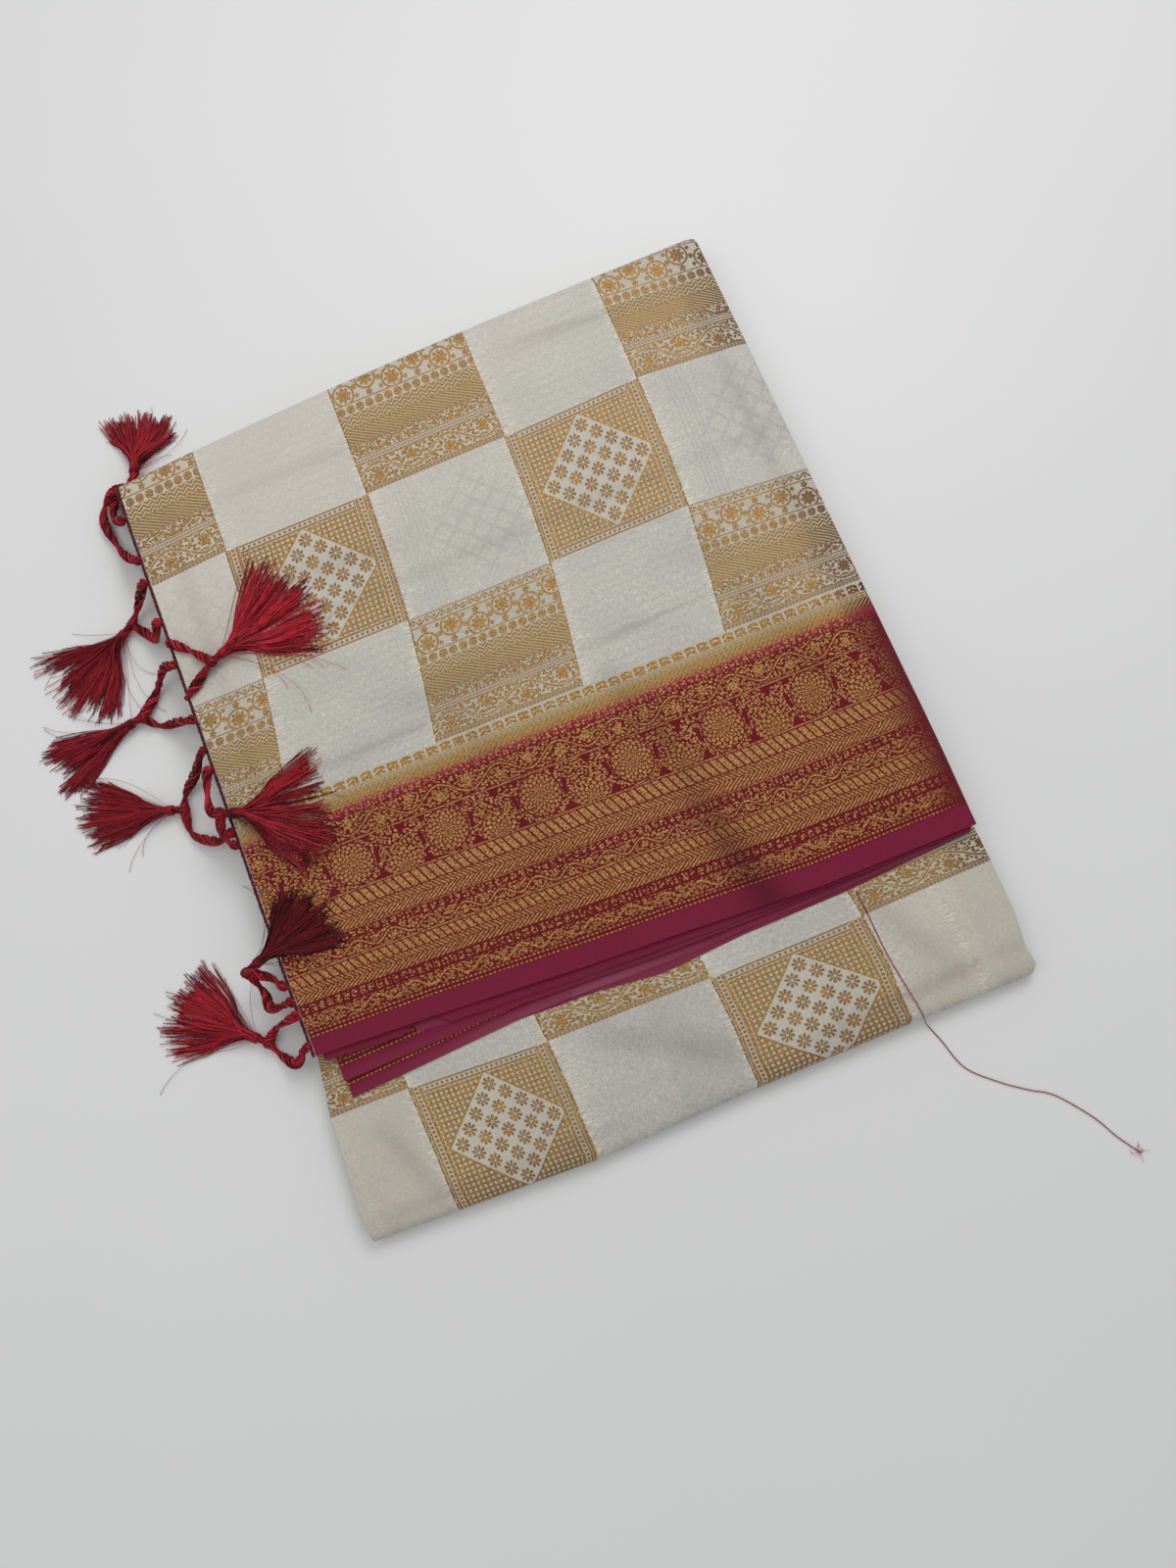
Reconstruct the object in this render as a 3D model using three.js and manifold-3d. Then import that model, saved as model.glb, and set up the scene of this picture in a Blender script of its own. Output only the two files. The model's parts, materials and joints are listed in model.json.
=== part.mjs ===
// A saree folded flat: tissue silk in a check of cream and gold cells, a broad gold-brocaded
// border, a plain maroon selvedge and a hemmed end with eight silk tassels.
// Millimetres, +Z up. The origin is the middle of the bundle's flat underside, +X runs along
// the cloth's length and +Y towards the upper fold.
import * as THREE from 'three';
import { mergeVertices } from 'three/addons/utils/BufferGeometryUtils.js';
import Module from 'manifold-3d';

const wasm = await Module();
wasm.setup();

// Driving dimensions
const SAREE_LENGTH = 6240;
const LENGTH_LAYERS = 16;
const HALF_WIDTH = SAREE_LENGTH / LENGTH_LAYERS / 2;
const LOWER_TOP = 12;
const UPPER_TOP = 21;
const WALL = 1.2;
const LEAF_WALL = 1;
const SEAM = 0.3;
const UPPER_FRONT_Y = -95;
const BORDER_LINE_Y = -3;
const BORDER_DIP_Y = -102;
const LEAF_COUNT = 4;
const SELVEDGE_TOP = LOWER_TOP + LEAF_COUNT * (LEAF_WALL + SEAM) + SEAM + WALL;
const HIDDEN_BACK_Y = UPPER_FRONT_Y - 1.5;
const FOLD_DEPTH = 10;
const ROLL_DEPTH = 11;
const TAIL = 12;
const LIP = 3;
const HEM_RADIUS = 1.1;
const THREAD_RADIUS = 0.3;

// Plan edges of the bundle, seen from above
const FOLD_EDGE = [
  { x: -195, y: 223 },
  { x: -147, y: 229 },
  { x: -57, y: 238 },
  { x: 32, y: 245 },
  { x: 125, y: 250.5 },
  { x: 195, y: 254 },
];
const SELVEDGE = [
  { x: -195, y: -142 },
  { x: -125, y: -146 },
  { x: -40, y: -152 },
  { x: 17, y: -155 },
  { x: 98, y: -160 },
  { x: 195, y: -160.5 },
];
const ROLL_EDGE = [
  { x: -195, y: -243 },
  { x: -151, y: -245 },
  { x: -69, y: -249 },
  { x: 23, y: -247 },
  { x: 110, y: -247 },
  { x: 195, y: -248 },
];
const UPPER_LEFT = [
  { y: -142, x: -193.2 },
  { y: 223, x: -195.2 },
];
const UPPER_RIGHT = [
  { y: -160, x: 193.5 },
  { y: 80, x: 195.5 },
  { y: 254, x: 196 },
];
const LOWER_LEFT = [
  { y: -249, x: -198 },
  { y: -232, x: -200 },
  { y: -177, x: -198.5 },
  { y: -143, x: -194.5 },
  { y: -97, x: -193 },
  { y: 254, x: -194.4 },
];
const LOWER_RIGHT = [
  { y: -249, x: 194 },
  { y: -226, x: 193.3 },
  { y: -181, x: 194 },
  { y: -97, x: 193.5 },
  { y: 254, x: 195 },
];

// Inner selvedges that fan out below the top layer, uppermost first: where each one's
// left corner lies, and how far its edge reaches at places along the bundle
const LEAVES = [
  {
    left: -190,
    edge: [
      { x: -190, y: -146 },
      { x: -127, y: -152 },
      { x: 0, y: -158.5 },
      { x: 100, y: -161.5 },
      { x: 190, y: -161.5 },
    ],
  },
  {
    left: -184,
    edge: [
      { x: -184, y: -160 },
      { x: -134, y: -159 },
      { x: -84, y: -157.5 },
      { x: 0, y: -161.5 },
      { x: 100, y: -163 },
      { x: 190, y: -162 },
    ],
  },
  {
    left: -183,
    edge: [
      { x: -183, y: -169.5 },
      { x: -150, y: -168 },
      { x: -85, y: -164.5 },
      { x: 0, y: -164 },
      { x: 100, y: -164 },
      { x: 190, y: -162.5 },
    ],
  },
  {
    left: -100,
    edge: [
      { x: -100, y: -164 },
      { x: -39, y: -166.5 },
      { x: -2, y: -171 },
      { x: 48, y: -168 },
      { x: 108, y: -167.5 },
      { x: 190, y: -163 },
    ],
  },
];

// Hidden layers, a row for each group of folds: its heights, how far it is set back from the
// edge of the bundle, and how far and where along the edge it wanders
const SHELF = LOWER_TOP - WALL - SEAM;
const CROWN = UPPER_TOP - WALL - SEAM;
const LAYERS = [
  { bottom: 0, top: 2.6, inset: 1.6, wave: 0.7, phase: 0.4 },
  { bottom: 2.6, top: 5.2, inset: 1.0, wave: 0.6, phase: 2.1 },
  { bottom: 5.2, top: 7.6, inset: 1.4, wave: 0.7, phase: 4.0 },
  { bottom: 7.6, top: SHELF, inset: 4.6, wave: 0.4, phase: 5.2 },
  { bottom: SHELF, top: 13.5, inset: 1.8, wave: 0.8, phase: 1.2 },
  { bottom: 13.5, top: 16.4, inset: 1.4, wave: 0.6, phase: 3.3 },
  { bottom: 16.4, top: CROWN, inset: 4.6, wave: 0.4, phase: 0.9 },
];
const CREASE_DEPTH = 1.5;
const SHELF_STEP = 0.5;
const WAVE_LENGTH = 37;
const CORE_CLEAR = 0.35;
const ROUND_CLEAR = 0.8;

// Tassels along the hemmed end. neck: where the skirt is bound. aim: the way it points, in
// degrees. spread: half its fan. onto: the height that its tips lie on. Each leg's stops run
// from the knot to the hem, which it meets at hemY.
const TASSELS = [
  {
    neck: [-186.5, 234.5, 5], bellZ: 4.2, aim: 66, spread: 36, reach: 44, onto: 0, layers: 2,
    legs: [
      { stops: [[-203, 227, 4], [-213, 212, 3.5], [-209, 188, 6]], hemY: 169 },
      { stops: [[-201.5, 221, 6], [-206, 207, 9]], hemY: 197 },
    ],
  },
  {
    neck: [-222, 136, 4.4], bellZ: 3.9, aim: -148, spread: 34, reach: 56, onto: 0, layers: 2,
    legs: [
      { stops: [[-210, 147, 7]], hemY: 153 },
      { stops: [[-209, 129, 5], [-204, 121, 12]], hemY: 126 },
    ],
  },
  {
    neck: [-169.6, 91.6, 26], bellZ: 25.2, aim: 20, spread: 37, reach: 66, onto: UPPER_TOP, layers: 2,
    legs: [
      { stops: [[-185, 101, 23.6]], over: true, hemY: 111 },
      { stops: [[-188, 81, 23.6]], over: true, hemY: 75 },
    ],
  },
  {
    neck: [-234, 80, 4.8], bellZ: 4.9, aim: -169, spread: 24, reach: 55, onto: 0, layers: 3,
    legs: [
      { stops: [[-216, 93, 4], [-206, 102, 12]], hemY: 98 },
      { stops: [[-220, 73, 3], [-208, 69, 9]], hemY: 62.5 },
    ],
  },
  {
    neck: [-227.7, 21, 4.8], bellZ: 4.9, aim: 163, spread: 27, reach: 55, onto: 0, layers: 3,
    legs: [
      { stops: [[-218, 28, 4], [-208, 35, 10]], hemY: 42 },
      { stops: [[-222, 4, 3], [-209, -7, 9]], hemY: -9 },
    ],
  },
  {
    neck: [-192.5, 0, 26.4], bellZ: 25.4, aim: -20, spread: 40, reach: 57, onto: UPPER_TOP, layers: 2,
    legs: [
      { stops: [[-204, 7, 22], [-203, 18, 20]], hemY: 29.5 },
      { stops: [[-201.5, -8, 23]], hemY: -16 },
    ],
  },
  {
    neck: [-207, -84, 22.8], bellZ: 26.8, aim: 14, spread: 30, reach: 50, onto: UPPER_TOP, layers: 2,
    legs: [
      { stops: [[-210, -98, 12], [-209, -108, 12]], hemY: -110 },
      { stops: [[-203, -93, 17]], hemY: -100 },
    ],
  },
  {
    neck: [-223, -119.7, 4.4], bellZ: 3.9, aim: 138, spread: 34, reach: 56, onto: 0, layers: 2,
    legs: [
      { stops: [[-212, -119, 6]], hemY: -118 },
      { stops: [[-213, -134, 4], [-206, -141, 9]], hemY: -136 },
    ],
  },
];
const LOCK_STEP = 6.4;
const BELL = 19;
const KNOT_RADIUS = 3;
const KNOT_BACK = 6.5;
const LEG_RADIUS = 1.2;
const LEG_SIDES = 4;
const LEG_RUN_IN = 2.5;

// A single loose thread that lies from under the inner selvedges down to the surface
const THREAD_ROUTE = [
  [115.4, -169.2, 12.9],
  [116, -178, 12.7],
  [116.2, -204, 12.7],
  [117.5, -219, 12.7],
  [119.4, -234, 12.9],
  [120.4, -242, 12.1],
  [121.4, -247.6, 8.4],
  [122.3, -249.9, 3.6],
  [124.2, -254, 0.8],
  [127, -262, 0.6],
  [132.6, -280, 0.6],
  [146.6, -294, 0.6],
  [160, -304, 0.6],
  [172, -312, 0.6],
  [186, -330, 0.6],
  [193, -343.5, 0.6],
  [201, -356, 0.6],
];

const MATERIALS = {
  check: { color: 0xc9c2ae, roughness: 0.55, metalness: 0.15 },
  border: { color: 0x96602f, roughness: 0.45, metalness: 0.3 },
  maroon: { color: 0x701c38, roughness: 0.6, metalness: 0 },
  hem: { color: 0x4a1420, roughness: 0.6, metalness: 0 },
  silk: { color: 0x8f1528, roughness: 0.5, metalness: 0 },
  layers: { color: 0xb9b3a4, roughness: 0.7, metalness: 0.05 },
};

const group = new THREE.Group();

// Turns a closed surface so that its faces point out
function facingOut(geometry) {
  const point = geometry.attributes.position;
  const index = geometry.index.array;
  const a = new THREE.Vector3();
  const b = new THREE.Vector3();
  const c = new THREE.Vector3();
  let volume = 0;
  for (let i = 0; i < index.length; i += 3) {
    a.fromBufferAttribute(point, index[i]);
    b.fromBufferAttribute(point, index[i + 1]);
    c.fromBufferAttribute(point, index[i + 2]);
    volume += a.dot(b.cross(c));
  }
  if (volume < 0) {
    for (let i = 0; i < index.length; i += 3) {
      const held = index[i + 1];
      index[i + 1] = index[i + 2];
      index[i + 2] = held;
    }
  }
  geometry.computeVertexNormals();
  return geometry;
}

function surfaceOf(points, faces) {
  const geometry = new THREE.BufferGeometry();
  geometry.setAttribute('position', new THREE.Float32BufferAttribute(points.flat(), 3));
  geometry.setIndex(faces);
  return facingOut(geometry);
}

function add(name, geometry, material) {
  const mesh = new THREE.Mesh(geometry, new THREE.MeshStandardMaterial(MATERIALS[material]));
  mesh.name = name;
  group.add(mesh);
}

// Value of one column of a table at a place in another column, straight between its rows
function along(table, from, to, at) {
  const first = table[0];
  const last = table[table.length - 1];
  if (at <= first[from]) return first[to];
  if (at >= last[from]) return last[to];
  const next = table.findIndex((row) => row[from] >= at);
  const low = table[next - 1];
  const high = table[next];
  return THREE.MathUtils.mapLinear(at, low[from], high[from], low[to], high[to]);
}

const { lerp, smoothstep, degToRad } = THREE.MathUtils;
const planX = (u) => lerp(-HALF_WIDTH, HALF_WIDTH, u);
const foldY = (x) => along(FOLD_EDGE, 'x', 'y', x);
const rollY = (x) => along(ROLL_EDGE, 'x', 'y', x);
const selvedgeY = (x) => along(SELVEDGE, 'x', 'y', x);

// A cloth wall between an outer and an inner grid of points of the same size
function slab(outer, inner) {
  const rows = outer.length;
  const columns = outer[0].length;
  const points = [...outer.flat(), ...inner.flat()];
  const at = (side, i, j) => side * rows * columns + i * columns + j;
  const faces = [];
  const quad = (a, b, c, d) => faces.push(a, b, c, a, c, d);
  for (let i = 0; i < rows - 1; i += 1) {
    for (let j = 0; j < columns - 1; j += 1) {
      quad(at(0, i, j), at(0, i + 1, j), at(0, i + 1, j + 1), at(0, i, j + 1));
      quad(at(1, i, j), at(1, i, j + 1), at(1, i + 1, j + 1), at(1, i + 1, j));
    }
    quad(at(0, i, 0), at(1, i, 0), at(1, i + 1, 0), at(0, i + 1, 0));
    const end = columns - 1;
    quad(at(0, i, end), at(0, i + 1, end), at(1, i + 1, end), at(1, i, end));
  }
  for (let j = 0; j < columns - 1; j += 1) {
    quad(at(0, 0, j), at(0, 0, j + 1), at(1, 0, j + 1), at(1, 0, j));
    const end = rows - 1;
    quad(at(0, end, j), at(1, end, j), at(1, end, j + 1), at(0, end, j + 1));
  }
  return surfaceOf(points, faces);
}

// Rings of equal count stacked up, closed by a fan at the bottom and at the top
function stack(rings) {
  const count = rings[0].length;
  const points = rings.flat();
  const faces = [];
  for (let k = 0; k < rings.length - 1; k += 1) {
    for (let i = 0; i < count; i += 1) {
      const a = k * count + i;
      const b = k * count + ((i + 1) % count);
      faces.push(a, b, b + count, a, b + count, a + count);
    }
  }
  const caps = [
    { ring: rings[0], start: 0, flip: true },
    { ring: rings[rings.length - 1], start: (rings.length - 1) * count, flip: false },
  ];
  for (const { ring, start, flip } of caps) {
    const middle = [0, 1, 2].map((axis) => ring.reduce((sum, p) => sum + p[axis], 0) / count);
    const centre = points.length;
    points.push(middle);
    for (let i = 0; i < count; i += 1) {
      const a = start + i;
      const b = start + ((i + 1) % count);
      faces.push(...(flip ? [centre, b, a] : [centre, a, b]));
    }
  }
  return surfaceOf(points, faces);
}

// How far a folded side edge turns down, from the distance to that edge
function lipDrop(distance) {
  if (distance >= LIP) return 0;
  const part = 1 - distance / LIP;
  return LIP * (1 - Math.sqrt(1 - part * part));
}

// Places across the bundle, closer together at the folded side edges
const EDGE_STEPS = [0, 0.7, 1.7, LIP + 0.2];
const INNER_STATIONS = 9;
function stations(leftFolded) {
  const width = 2 * HALF_WIDTH;
  const near = EDGE_STEPS.map((step) => step / width);
  const middle = [];
  for (let i = 1; i <= INNER_STATIONS; i += 1) middle.push(i / (INNER_STATIONS + 1));
  const left = leftFolded ? near : [0];
  const right = near.map((u) => 1 - u).reverse();
  return [...left, ...middle, ...right];
}

// Soft swells of the top layer between the press creases, raised in its outer side only
function swell(x, y) {
  const long = Math.sin(x / 47 + 0.6) * Math.sin(y / 39 + 1.1);
  const short = Math.sin(x / 23 - y / 31);
  return 0.25 + 0.17 * long + 0.08 * short;
}

// The way of a sheet from its flat top round a fold, down to its tail on the underside
function wrapPath(top, depth, steps) {
  const path = [];
  const half = top / 2;
  for (let k = 0; k <= steps; k += 1) {
    const turn = (Math.PI * k) / steps;
    path.push({
      outerOut: depth * Math.sin(turn),
      outerZ: half + half * Math.cos(turn),
      innerOut: (depth - WALL) * Math.sin(turn),
      innerZ: half + (half - WALL) * Math.cos(turn),
    });
  }
  path.push({ outerOut: -TAIL, outerZ: 0, innerOut: -TAIL, innerZ: WALL });
  return path;
}

function topSheet(pathAt, left, right, leftFolded) {
  const outer = [];
  const inner = [];
  for (const u of stations(leftFolded)) {
    const place = pathAt(planX(u));
    const outerRow = [];
    const innerRow = [];
    for (const p of place) {
      const startX = along(left, 'y', 'x', p.y);
      const endX = along(right, 'y', 'x', p.y);
      const x = lerp(startX, endX, u);
      const fromEdge = leftFolded ? Math.min(x - startX, endX - x) : endX - x;
      const drop = lipDrop(fromEdge) * p.flat;
      const raised = fromEdge > LIP && x - startX > LIP ? p.flat * p.rise * swell(x, p.y) : 0;
      outerRow.push([x, p.y, p.z - drop + raised]);
      innerRow.push([x, p.innerY, p.innerZ - drop]);
    }
    outer.push(outerRow);
    inner.push(innerRow);
  }
  return slab(outer, inner);
}

// Upper stretch in checks: from the border line over the top and round the upper fold
const UPPER_STATIONS = 9;
const FOLD_STEPS = 8;
function upperBodyPath(x) {
  const start = BORDER_LINE_Y + SEAM / 2;
  const end = foldY(x) - FOLD_DEPTH;
  const path = [];
  for (let j = 0; j < UPPER_STATIONS; j += 1) {
    const y = lerp(start, end, j / UPPER_STATIONS);
    path.push({ y, z: UPPER_TOP, innerY: y, innerZ: UPPER_TOP - WALL, flat: 1, rise: j > 0 ? 1 : 0 });
  }
  for (const w of wrapPath(UPPER_TOP, FOLD_DEPTH, FOLD_STEPS)) {
    const flat = w.outerZ > UPPER_TOP / 2 ? smoothstep(w.outerZ, UPPER_TOP / 2, UPPER_TOP) : 0;
    path.push({
      y: end + w.outerOut, z: w.outerZ, innerY: end + w.innerOut, innerZ: w.innerZ, flat, rise: 0,
    });
  }
  return path;
}

// Border and its plain selvedge: from the border line down over the inner selvedges
const BORDER_STATIONS = 8;
function borderTop(x, y) {
  return lerp(SELVEDGE_TOP, UPPER_TOP, smoothstep(y, selvedgeY(x), BORDER_DIP_Y));
}
function upperBorderPath(x) {
  const path = [];
  for (let j = 0; j <= BORDER_STATIONS; j += 1) {
    const y = lerp(selvedgeY(x), BORDER_LINE_Y - SEAM / 2, j / BORDER_STATIONS);
    const z = borderTop(x, y);
    const rise = j > 0 && j < BORDER_STATIONS ? 1 : 0;
    path.push({ y, z, innerY: y, innerZ: z - WALL, flat: 1, rise });
  }
  return path;
}

// Lower stretch: from behind the inner selvedges round the roll at the bottom
const LOWER_STATIONS = 6;
const ROLL_STEPS = 8;
function lowerBodyPath(x) {
  const start = HIDDEN_BACK_Y;
  const end = rollY(x) + ROLL_DEPTH;
  const path = [];
  for (let j = 0; j < LOWER_STATIONS; j += 1) {
    const y = lerp(start, end, j / LOWER_STATIONS);
    path.push({ y, z: LOWER_TOP, innerY: y, innerZ: LOWER_TOP - WALL, flat: 1, rise: 0 });
  }
  for (const w of wrapPath(LOWER_TOP, ROLL_DEPTH, ROLL_STEPS)) {
    const flat = w.outerZ > LOWER_TOP / 2 ? smoothstep(w.outerZ, LOWER_TOP / 2, LOWER_TOP) : 0;
    path.push({
      y: end - w.outerOut, z: w.outerZ, innerY: end - w.innerOut, innerZ: w.innerZ, flat, rise: 0,
    });
  }
  return path;
}

function foldedCore() {
  const sideSteps = 15;
  const endSteps = 6;
  // Height of the round inside of a wrapped fold, as a part of its depth
  const inside = (z, top, depth) => {
    const half = top / 2;
    const part = Math.min(1, Math.abs(z - half) / (half - WALL));
    return (depth - WALL) * Math.sqrt(1 - part * part);
  };
  const ring = (z, layer, crease, upper, rebate) => {
    const tail = TAIL + CORE_CLEAR + ROUND_CLEAR;
    const low = (x) => {
      if (upper) return UPPER_FRONT_Y;
      const end = rollY(x) + ROLL_DEPTH;
      return rebate ? end + tail : end - inside(z, LOWER_TOP, ROLL_DEPTH) + CORE_CLEAR + ROUND_CLEAR;
    };
    const high = (x) => {
      const end = foldY(x) - FOLD_DEPTH;
      return rebate ? end - tail : end + inside(z, UPPER_TOP, FOLD_DEPTH) - CORE_CLEAR - ROUND_CLEAR;
    };
    const left = upper ? UPPER_LEFT : LOWER_LEFT;
    const right = upper ? UPPER_RIGHT : LOWER_RIGHT;
    const at = (u, v) => {
      const y = lerp(low(planX(u)), high(planX(u)), v);
      const set = layer.inset + crease + layer.wave * Math.sin(y / WAVE_LENGTH + layer.phase);
      return [lerp(along(left, 'y', 'x', y) + set, along(right, 'y', 'x', y) - set, u), y, z];
    };
    const points = [];
    for (let i = 0; i < endSteps; i += 1) points.push(at(i / endSteps, 0));
    for (let i = 0; i < sideSteps; i += 1) points.push(at(1, i / sideSteps));
    for (let i = 0; i < endSteps; i += 1) points.push(at(1 - i / endSteps, 1));
    for (let i = 0; i < sideSteps; i += 1) points.push(at(0, 1 - i / sideSteps));
    return points;
  };
  const rebateTop = WALL + CORE_CLEAR;
  const shoulder = 0.22;
  const rings = [];
  for (const layer of LAYERS) {
    const upper = layer.bottom >= SHELF;
    const height = layer.top - layer.bottom;
    if (layer.bottom === 0) {
      rings.push(ring(0, layer, CREASE_DEPTH / 2, upper, true));
      rings.push(ring(rebateTop, layer, 0, upper, true));
      rings.push(ring(rebateTop, layer, 0, upper, false));
    } else {
      const crease = CREASE_DEPTH + (upper ? SHELF_STEP : 0);
      rings.push(ring(layer.bottom, layer, crease, upper, false));
      rings.push(ring(layer.bottom + shoulder * height, layer, 0, upper, false));
    }
    rings.push(ring(layer.top - shoulder * height, layer, 0, upper, false));
    if (layer.top === SHELF || layer.top === CROWN) {
      rings.push(ring(layer.top, layer, CREASE_DEPTH, upper, false));
    }
  }
  return stack(rings);
}

function innerSelvedge(row, order) {
  const across = 15;
  const top = LOWER_TOP + (LEAF_COUNT - order) * (LEAF_WALL + SEAM);
  const right = row.edge[row.edge.length - 1].x;
  const outer = [];
  const inner = [];
  for (let i = 0; i <= across; i += 1) {
    const x = lerp(row.left, right, i / across);
    const edge = along(row.edge, 'x', 'y', x);
    const places = [HIDDEN_BACK_Y, lerp(HIDDEN_BACK_Y, edge, 0.6), edge];
    outer.push(places.map((y) => [x, y, top]));
    inner.push(places.map((y) => [x, y, top - LEAF_WALL]));
  }
  return slab(outer, inner);
}

// A tube along a route, with a round section
function roundTube(route, radius, sides, steps) {
  const section = new THREE.Shape();
  for (let i = 0; i < sides; i += 1) {
    const turn = (2 * Math.PI * i) / sides;
    const corner = [radius * Math.cos(turn), radius * Math.sin(turn)];
    if (i === 0) section.moveTo(...corner);
    else section.lineTo(...corner);
  }
  const curve = new THREE.CatmullRomCurve3(route.map((p) => new THREE.Vector3(...p)));
  const options = { steps, bevelEnabled: false, extrudePath: curve };
  const raw = new THREE.ExtrudeGeometry(section, options);
  raw.deleteAttribute('normal');
  raw.deleteAttribute('uv');
  return facingOut(mergeVertices(raw, 1e-4));
}

// Outer face of the hem at a place along it
const hemX = (y) => along(UPPER_LEFT, 'y', 'x', y) - SEAM - HEM_RADIUS;
const hemZ = (y) => (y < BORDER_LINE_Y ? borderTop(-HALF_WIDTH, y) : UPPER_TOP) - WALL / 2;

function palluHem() {
  const route = [];
  const start = selvedgeY(-HALF_WIDTH) + 0.5;
  const end = foldY(-HALF_WIDTH) - FOLD_DEPTH;
  const steps = 10;
  for (let i = 0; i <= steps; i += 1) {
    const y = lerp(start, end, i / steps);
    route.push([hemX(y), y, hemZ(y)]);
  }
  const half = UPPER_TOP / 2;
  for (const turn of [30, 60, 90, 120, 145]) {
    const angle = degToRad(turn);
    const y = end + (FOLD_DEPTH - WALL / 2) * Math.sin(angle);
    route.push([hemX(y), y, half + (half - WALL / 2) * Math.cos(angle)]);
  }
  return roundTube(route, HEM_RADIUS, 8, 30);
}

// A strand with a section of few sides that narrows along its route
function strand(route, radii, sides) {
  const up = new THREE.Vector3(0, 0, 1);
  const rings = route.map((p, k) => {
    const before = new THREE.Vector3(...route[Math.max(0, k - 1)]);
    const after = new THREE.Vector3(...route[Math.min(route.length - 1, k + 1)]);
    const way = after.sub(before).normalize();
    const side = new THREE.Vector3().crossVectors(up, way).normalize();
    const lift = new THREE.Vector3().crossVectors(way, side);
    const ring = [];
    for (let i = 0; i < sides; i += 1) {
      const turn = Math.PI / 2 + (2 * Math.PI * i) / sides;
      const point = new THREE.Vector3(...p);
      point.addScaledVector(side, radii[k] * Math.cos(turn));
      point.addScaledVector(lift, radii[k] * Math.sin(turn));
      ring.push(point.toArray());
    }
    return ring;
  });
  return stack(rings);
}

function manifoldOf(geometry) {
  const bare = geometry.clone();
  bare.deleteAttribute('normal');
  bare.deleteAttribute('uv');
  const merged = mergeVertices(bare, 1e-4);
  const vertProperties = new Float32Array(merged.attributes.position.array);
  const triVerts = new Uint32Array(merged.index.array);
  return new wasm.Manifold(new wasm.Mesh({ numProp: 3, vertProperties, triVerts }));
}

function geometryOf(manifold) {
  const { vertProperties, triVerts } = manifold.getMesh();
  const geometry = new THREE.BufferGeometry();
  geometry.setAttribute('position', new THREE.BufferAttribute(new Float32Array(vertProperties), 3));
  geometry.setIndex(Array.from(triVerts));
  return facingOut(geometry);
}

// Bound neck and the gathered top of the skirt, flattened towards the surface it lies on
function tasselHead(row) {
  const [x, y, z] = row.neck;
  const aim = degToRad(row.aim);
  const wide = BELL * Math.tan(degToRad(row.spread)) + 1;
  const profile = [
    { s: -2, half: 1.8, high: 1.8 },
    { s: 0, half: 3, high: 3 },
    { s: 3.5, half: 2.7, high: 2.7 },
    { s: 5, half: 3.6, high: 3.2 },
    { s: BELL, half: wide, high: 1 + 1.05 * row.layers },
  ];
  const sides = 8;
  const rings = profile.map(({ s, half, high }) => {
    const centre = lerp(z, row.bellZ, Math.max(0, s) / BELL);
    const ring = [];
    for (let i = 0; i < sides; i += 1) {
      const turn = (2 * Math.PI * i) / sides;
      const across = half * Math.cos(turn);
      ring.push([
        x + s * Math.cos(aim) - across * Math.sin(aim),
        y + s * Math.sin(aim) + across * Math.cos(aim),
        centre + high * Math.sin(turn),
      ]);
    }
    return ring;
  });
  return stack(rings);
}

function tasselLock(row, angle, reach, layer) {
  const [x, y] = row.neck;
  const lockTop = 0.95;
  const tipZ = row.onto + 0.4 + lockTop + layer * 1.3;
  const rootZ = row.bellZ + (layer - (row.layers - 1) / 2) * 1.9;
  const root = BELL - 3;
  const steps = 2;
  const route = [];
  const radii = [];
  for (let k = 0; k <= steps; k += 1) {
    const part = k / steps;
    const s = lerp(root, reach, part);
    const bend = degToRad(angle + 3 * Math.sin(angle * 7 + layer) * part * part);
    route.push([x + s * Math.cos(bend), y + s * Math.sin(bend), lerp(rootZ, tipZ, part)]);
    radii.push(lerp(lockTop, 0.6, part * part));
  }
  return strand(route, radii, 3);
}

function tassel(row) {
  const [x, y, z] = row.neck;
  const aim = degToRad(row.aim);
  const knot = [x - KNOT_BACK * Math.cos(aim), y - KNOT_BACK * Math.sin(aim), z];
  let solid = manifoldOf(tasselHead(row));
  const ball = new THREE.SphereGeometry(KNOT_RADIUS, 7, 5);
  ball.translate(...knot);
  solid = solid.add(manifoldOf(ball));
  const neckCord = [knot, [x, y, z]];
  solid = solid.add(manifoldOf(strand(neckCord, [LEG_RADIUS, LEG_RADIUS], LEG_SIDES)));
  for (const leg of row.legs) {
    const side = hemX(leg.hemY) - HEM_RADIUS - SEAM - 0.1;
    const above = hemZ(leg.hemY) + HEM_RADIUS + SEAM + LEG_RADIUS + 0.1;
    const level = hemZ(leg.hemY);
    const ends = leg.over
      ? [[hemX(leg.hemY), leg.hemY, above]]
      : [[side - LEG_RUN_IN, leg.hemY, level], [side, leg.hemY, level]];
    const stops = [knot, ...leg.stops, ...ends].map((p) => new THREE.Vector3(...p));
    const curve = new THREE.CatmullRomCurve3(stops, false, 'catmullrom', 0.35);
    const route = curve.getPoints(Math.round(stops.length * 1.6)).map((p) => p.toArray());
    const last = route[route.length - 2];
    last[1] = leg.hemY;
    if (!leg.over) last[2] = level;
    solid = solid.add(manifoldOf(strand(route, route.map(() => LEG_RADIUS), LEG_SIDES)));
  }
  const count = Math.round((2 * row.spread) / LOCK_STEP);
  for (let layer = 0; layer < row.layers; layer += 1) {
    for (let i = 0; i < count; i += 1) {
      const place = (i + 0.5 + 0.25 * (layer % 2 ? 1 : -1)) / count;
      const angle = row.aim + lerp(-row.spread, row.spread, place);
      const reach = row.reach * (0.96 + 0.06 * Math.sin(5 * i + 2 * layer));
      solid = solid.add(manifoldOf(tasselLock(row, angle, reach, layer)));
    }
  }
  return geometryOf(solid);
}

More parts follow.
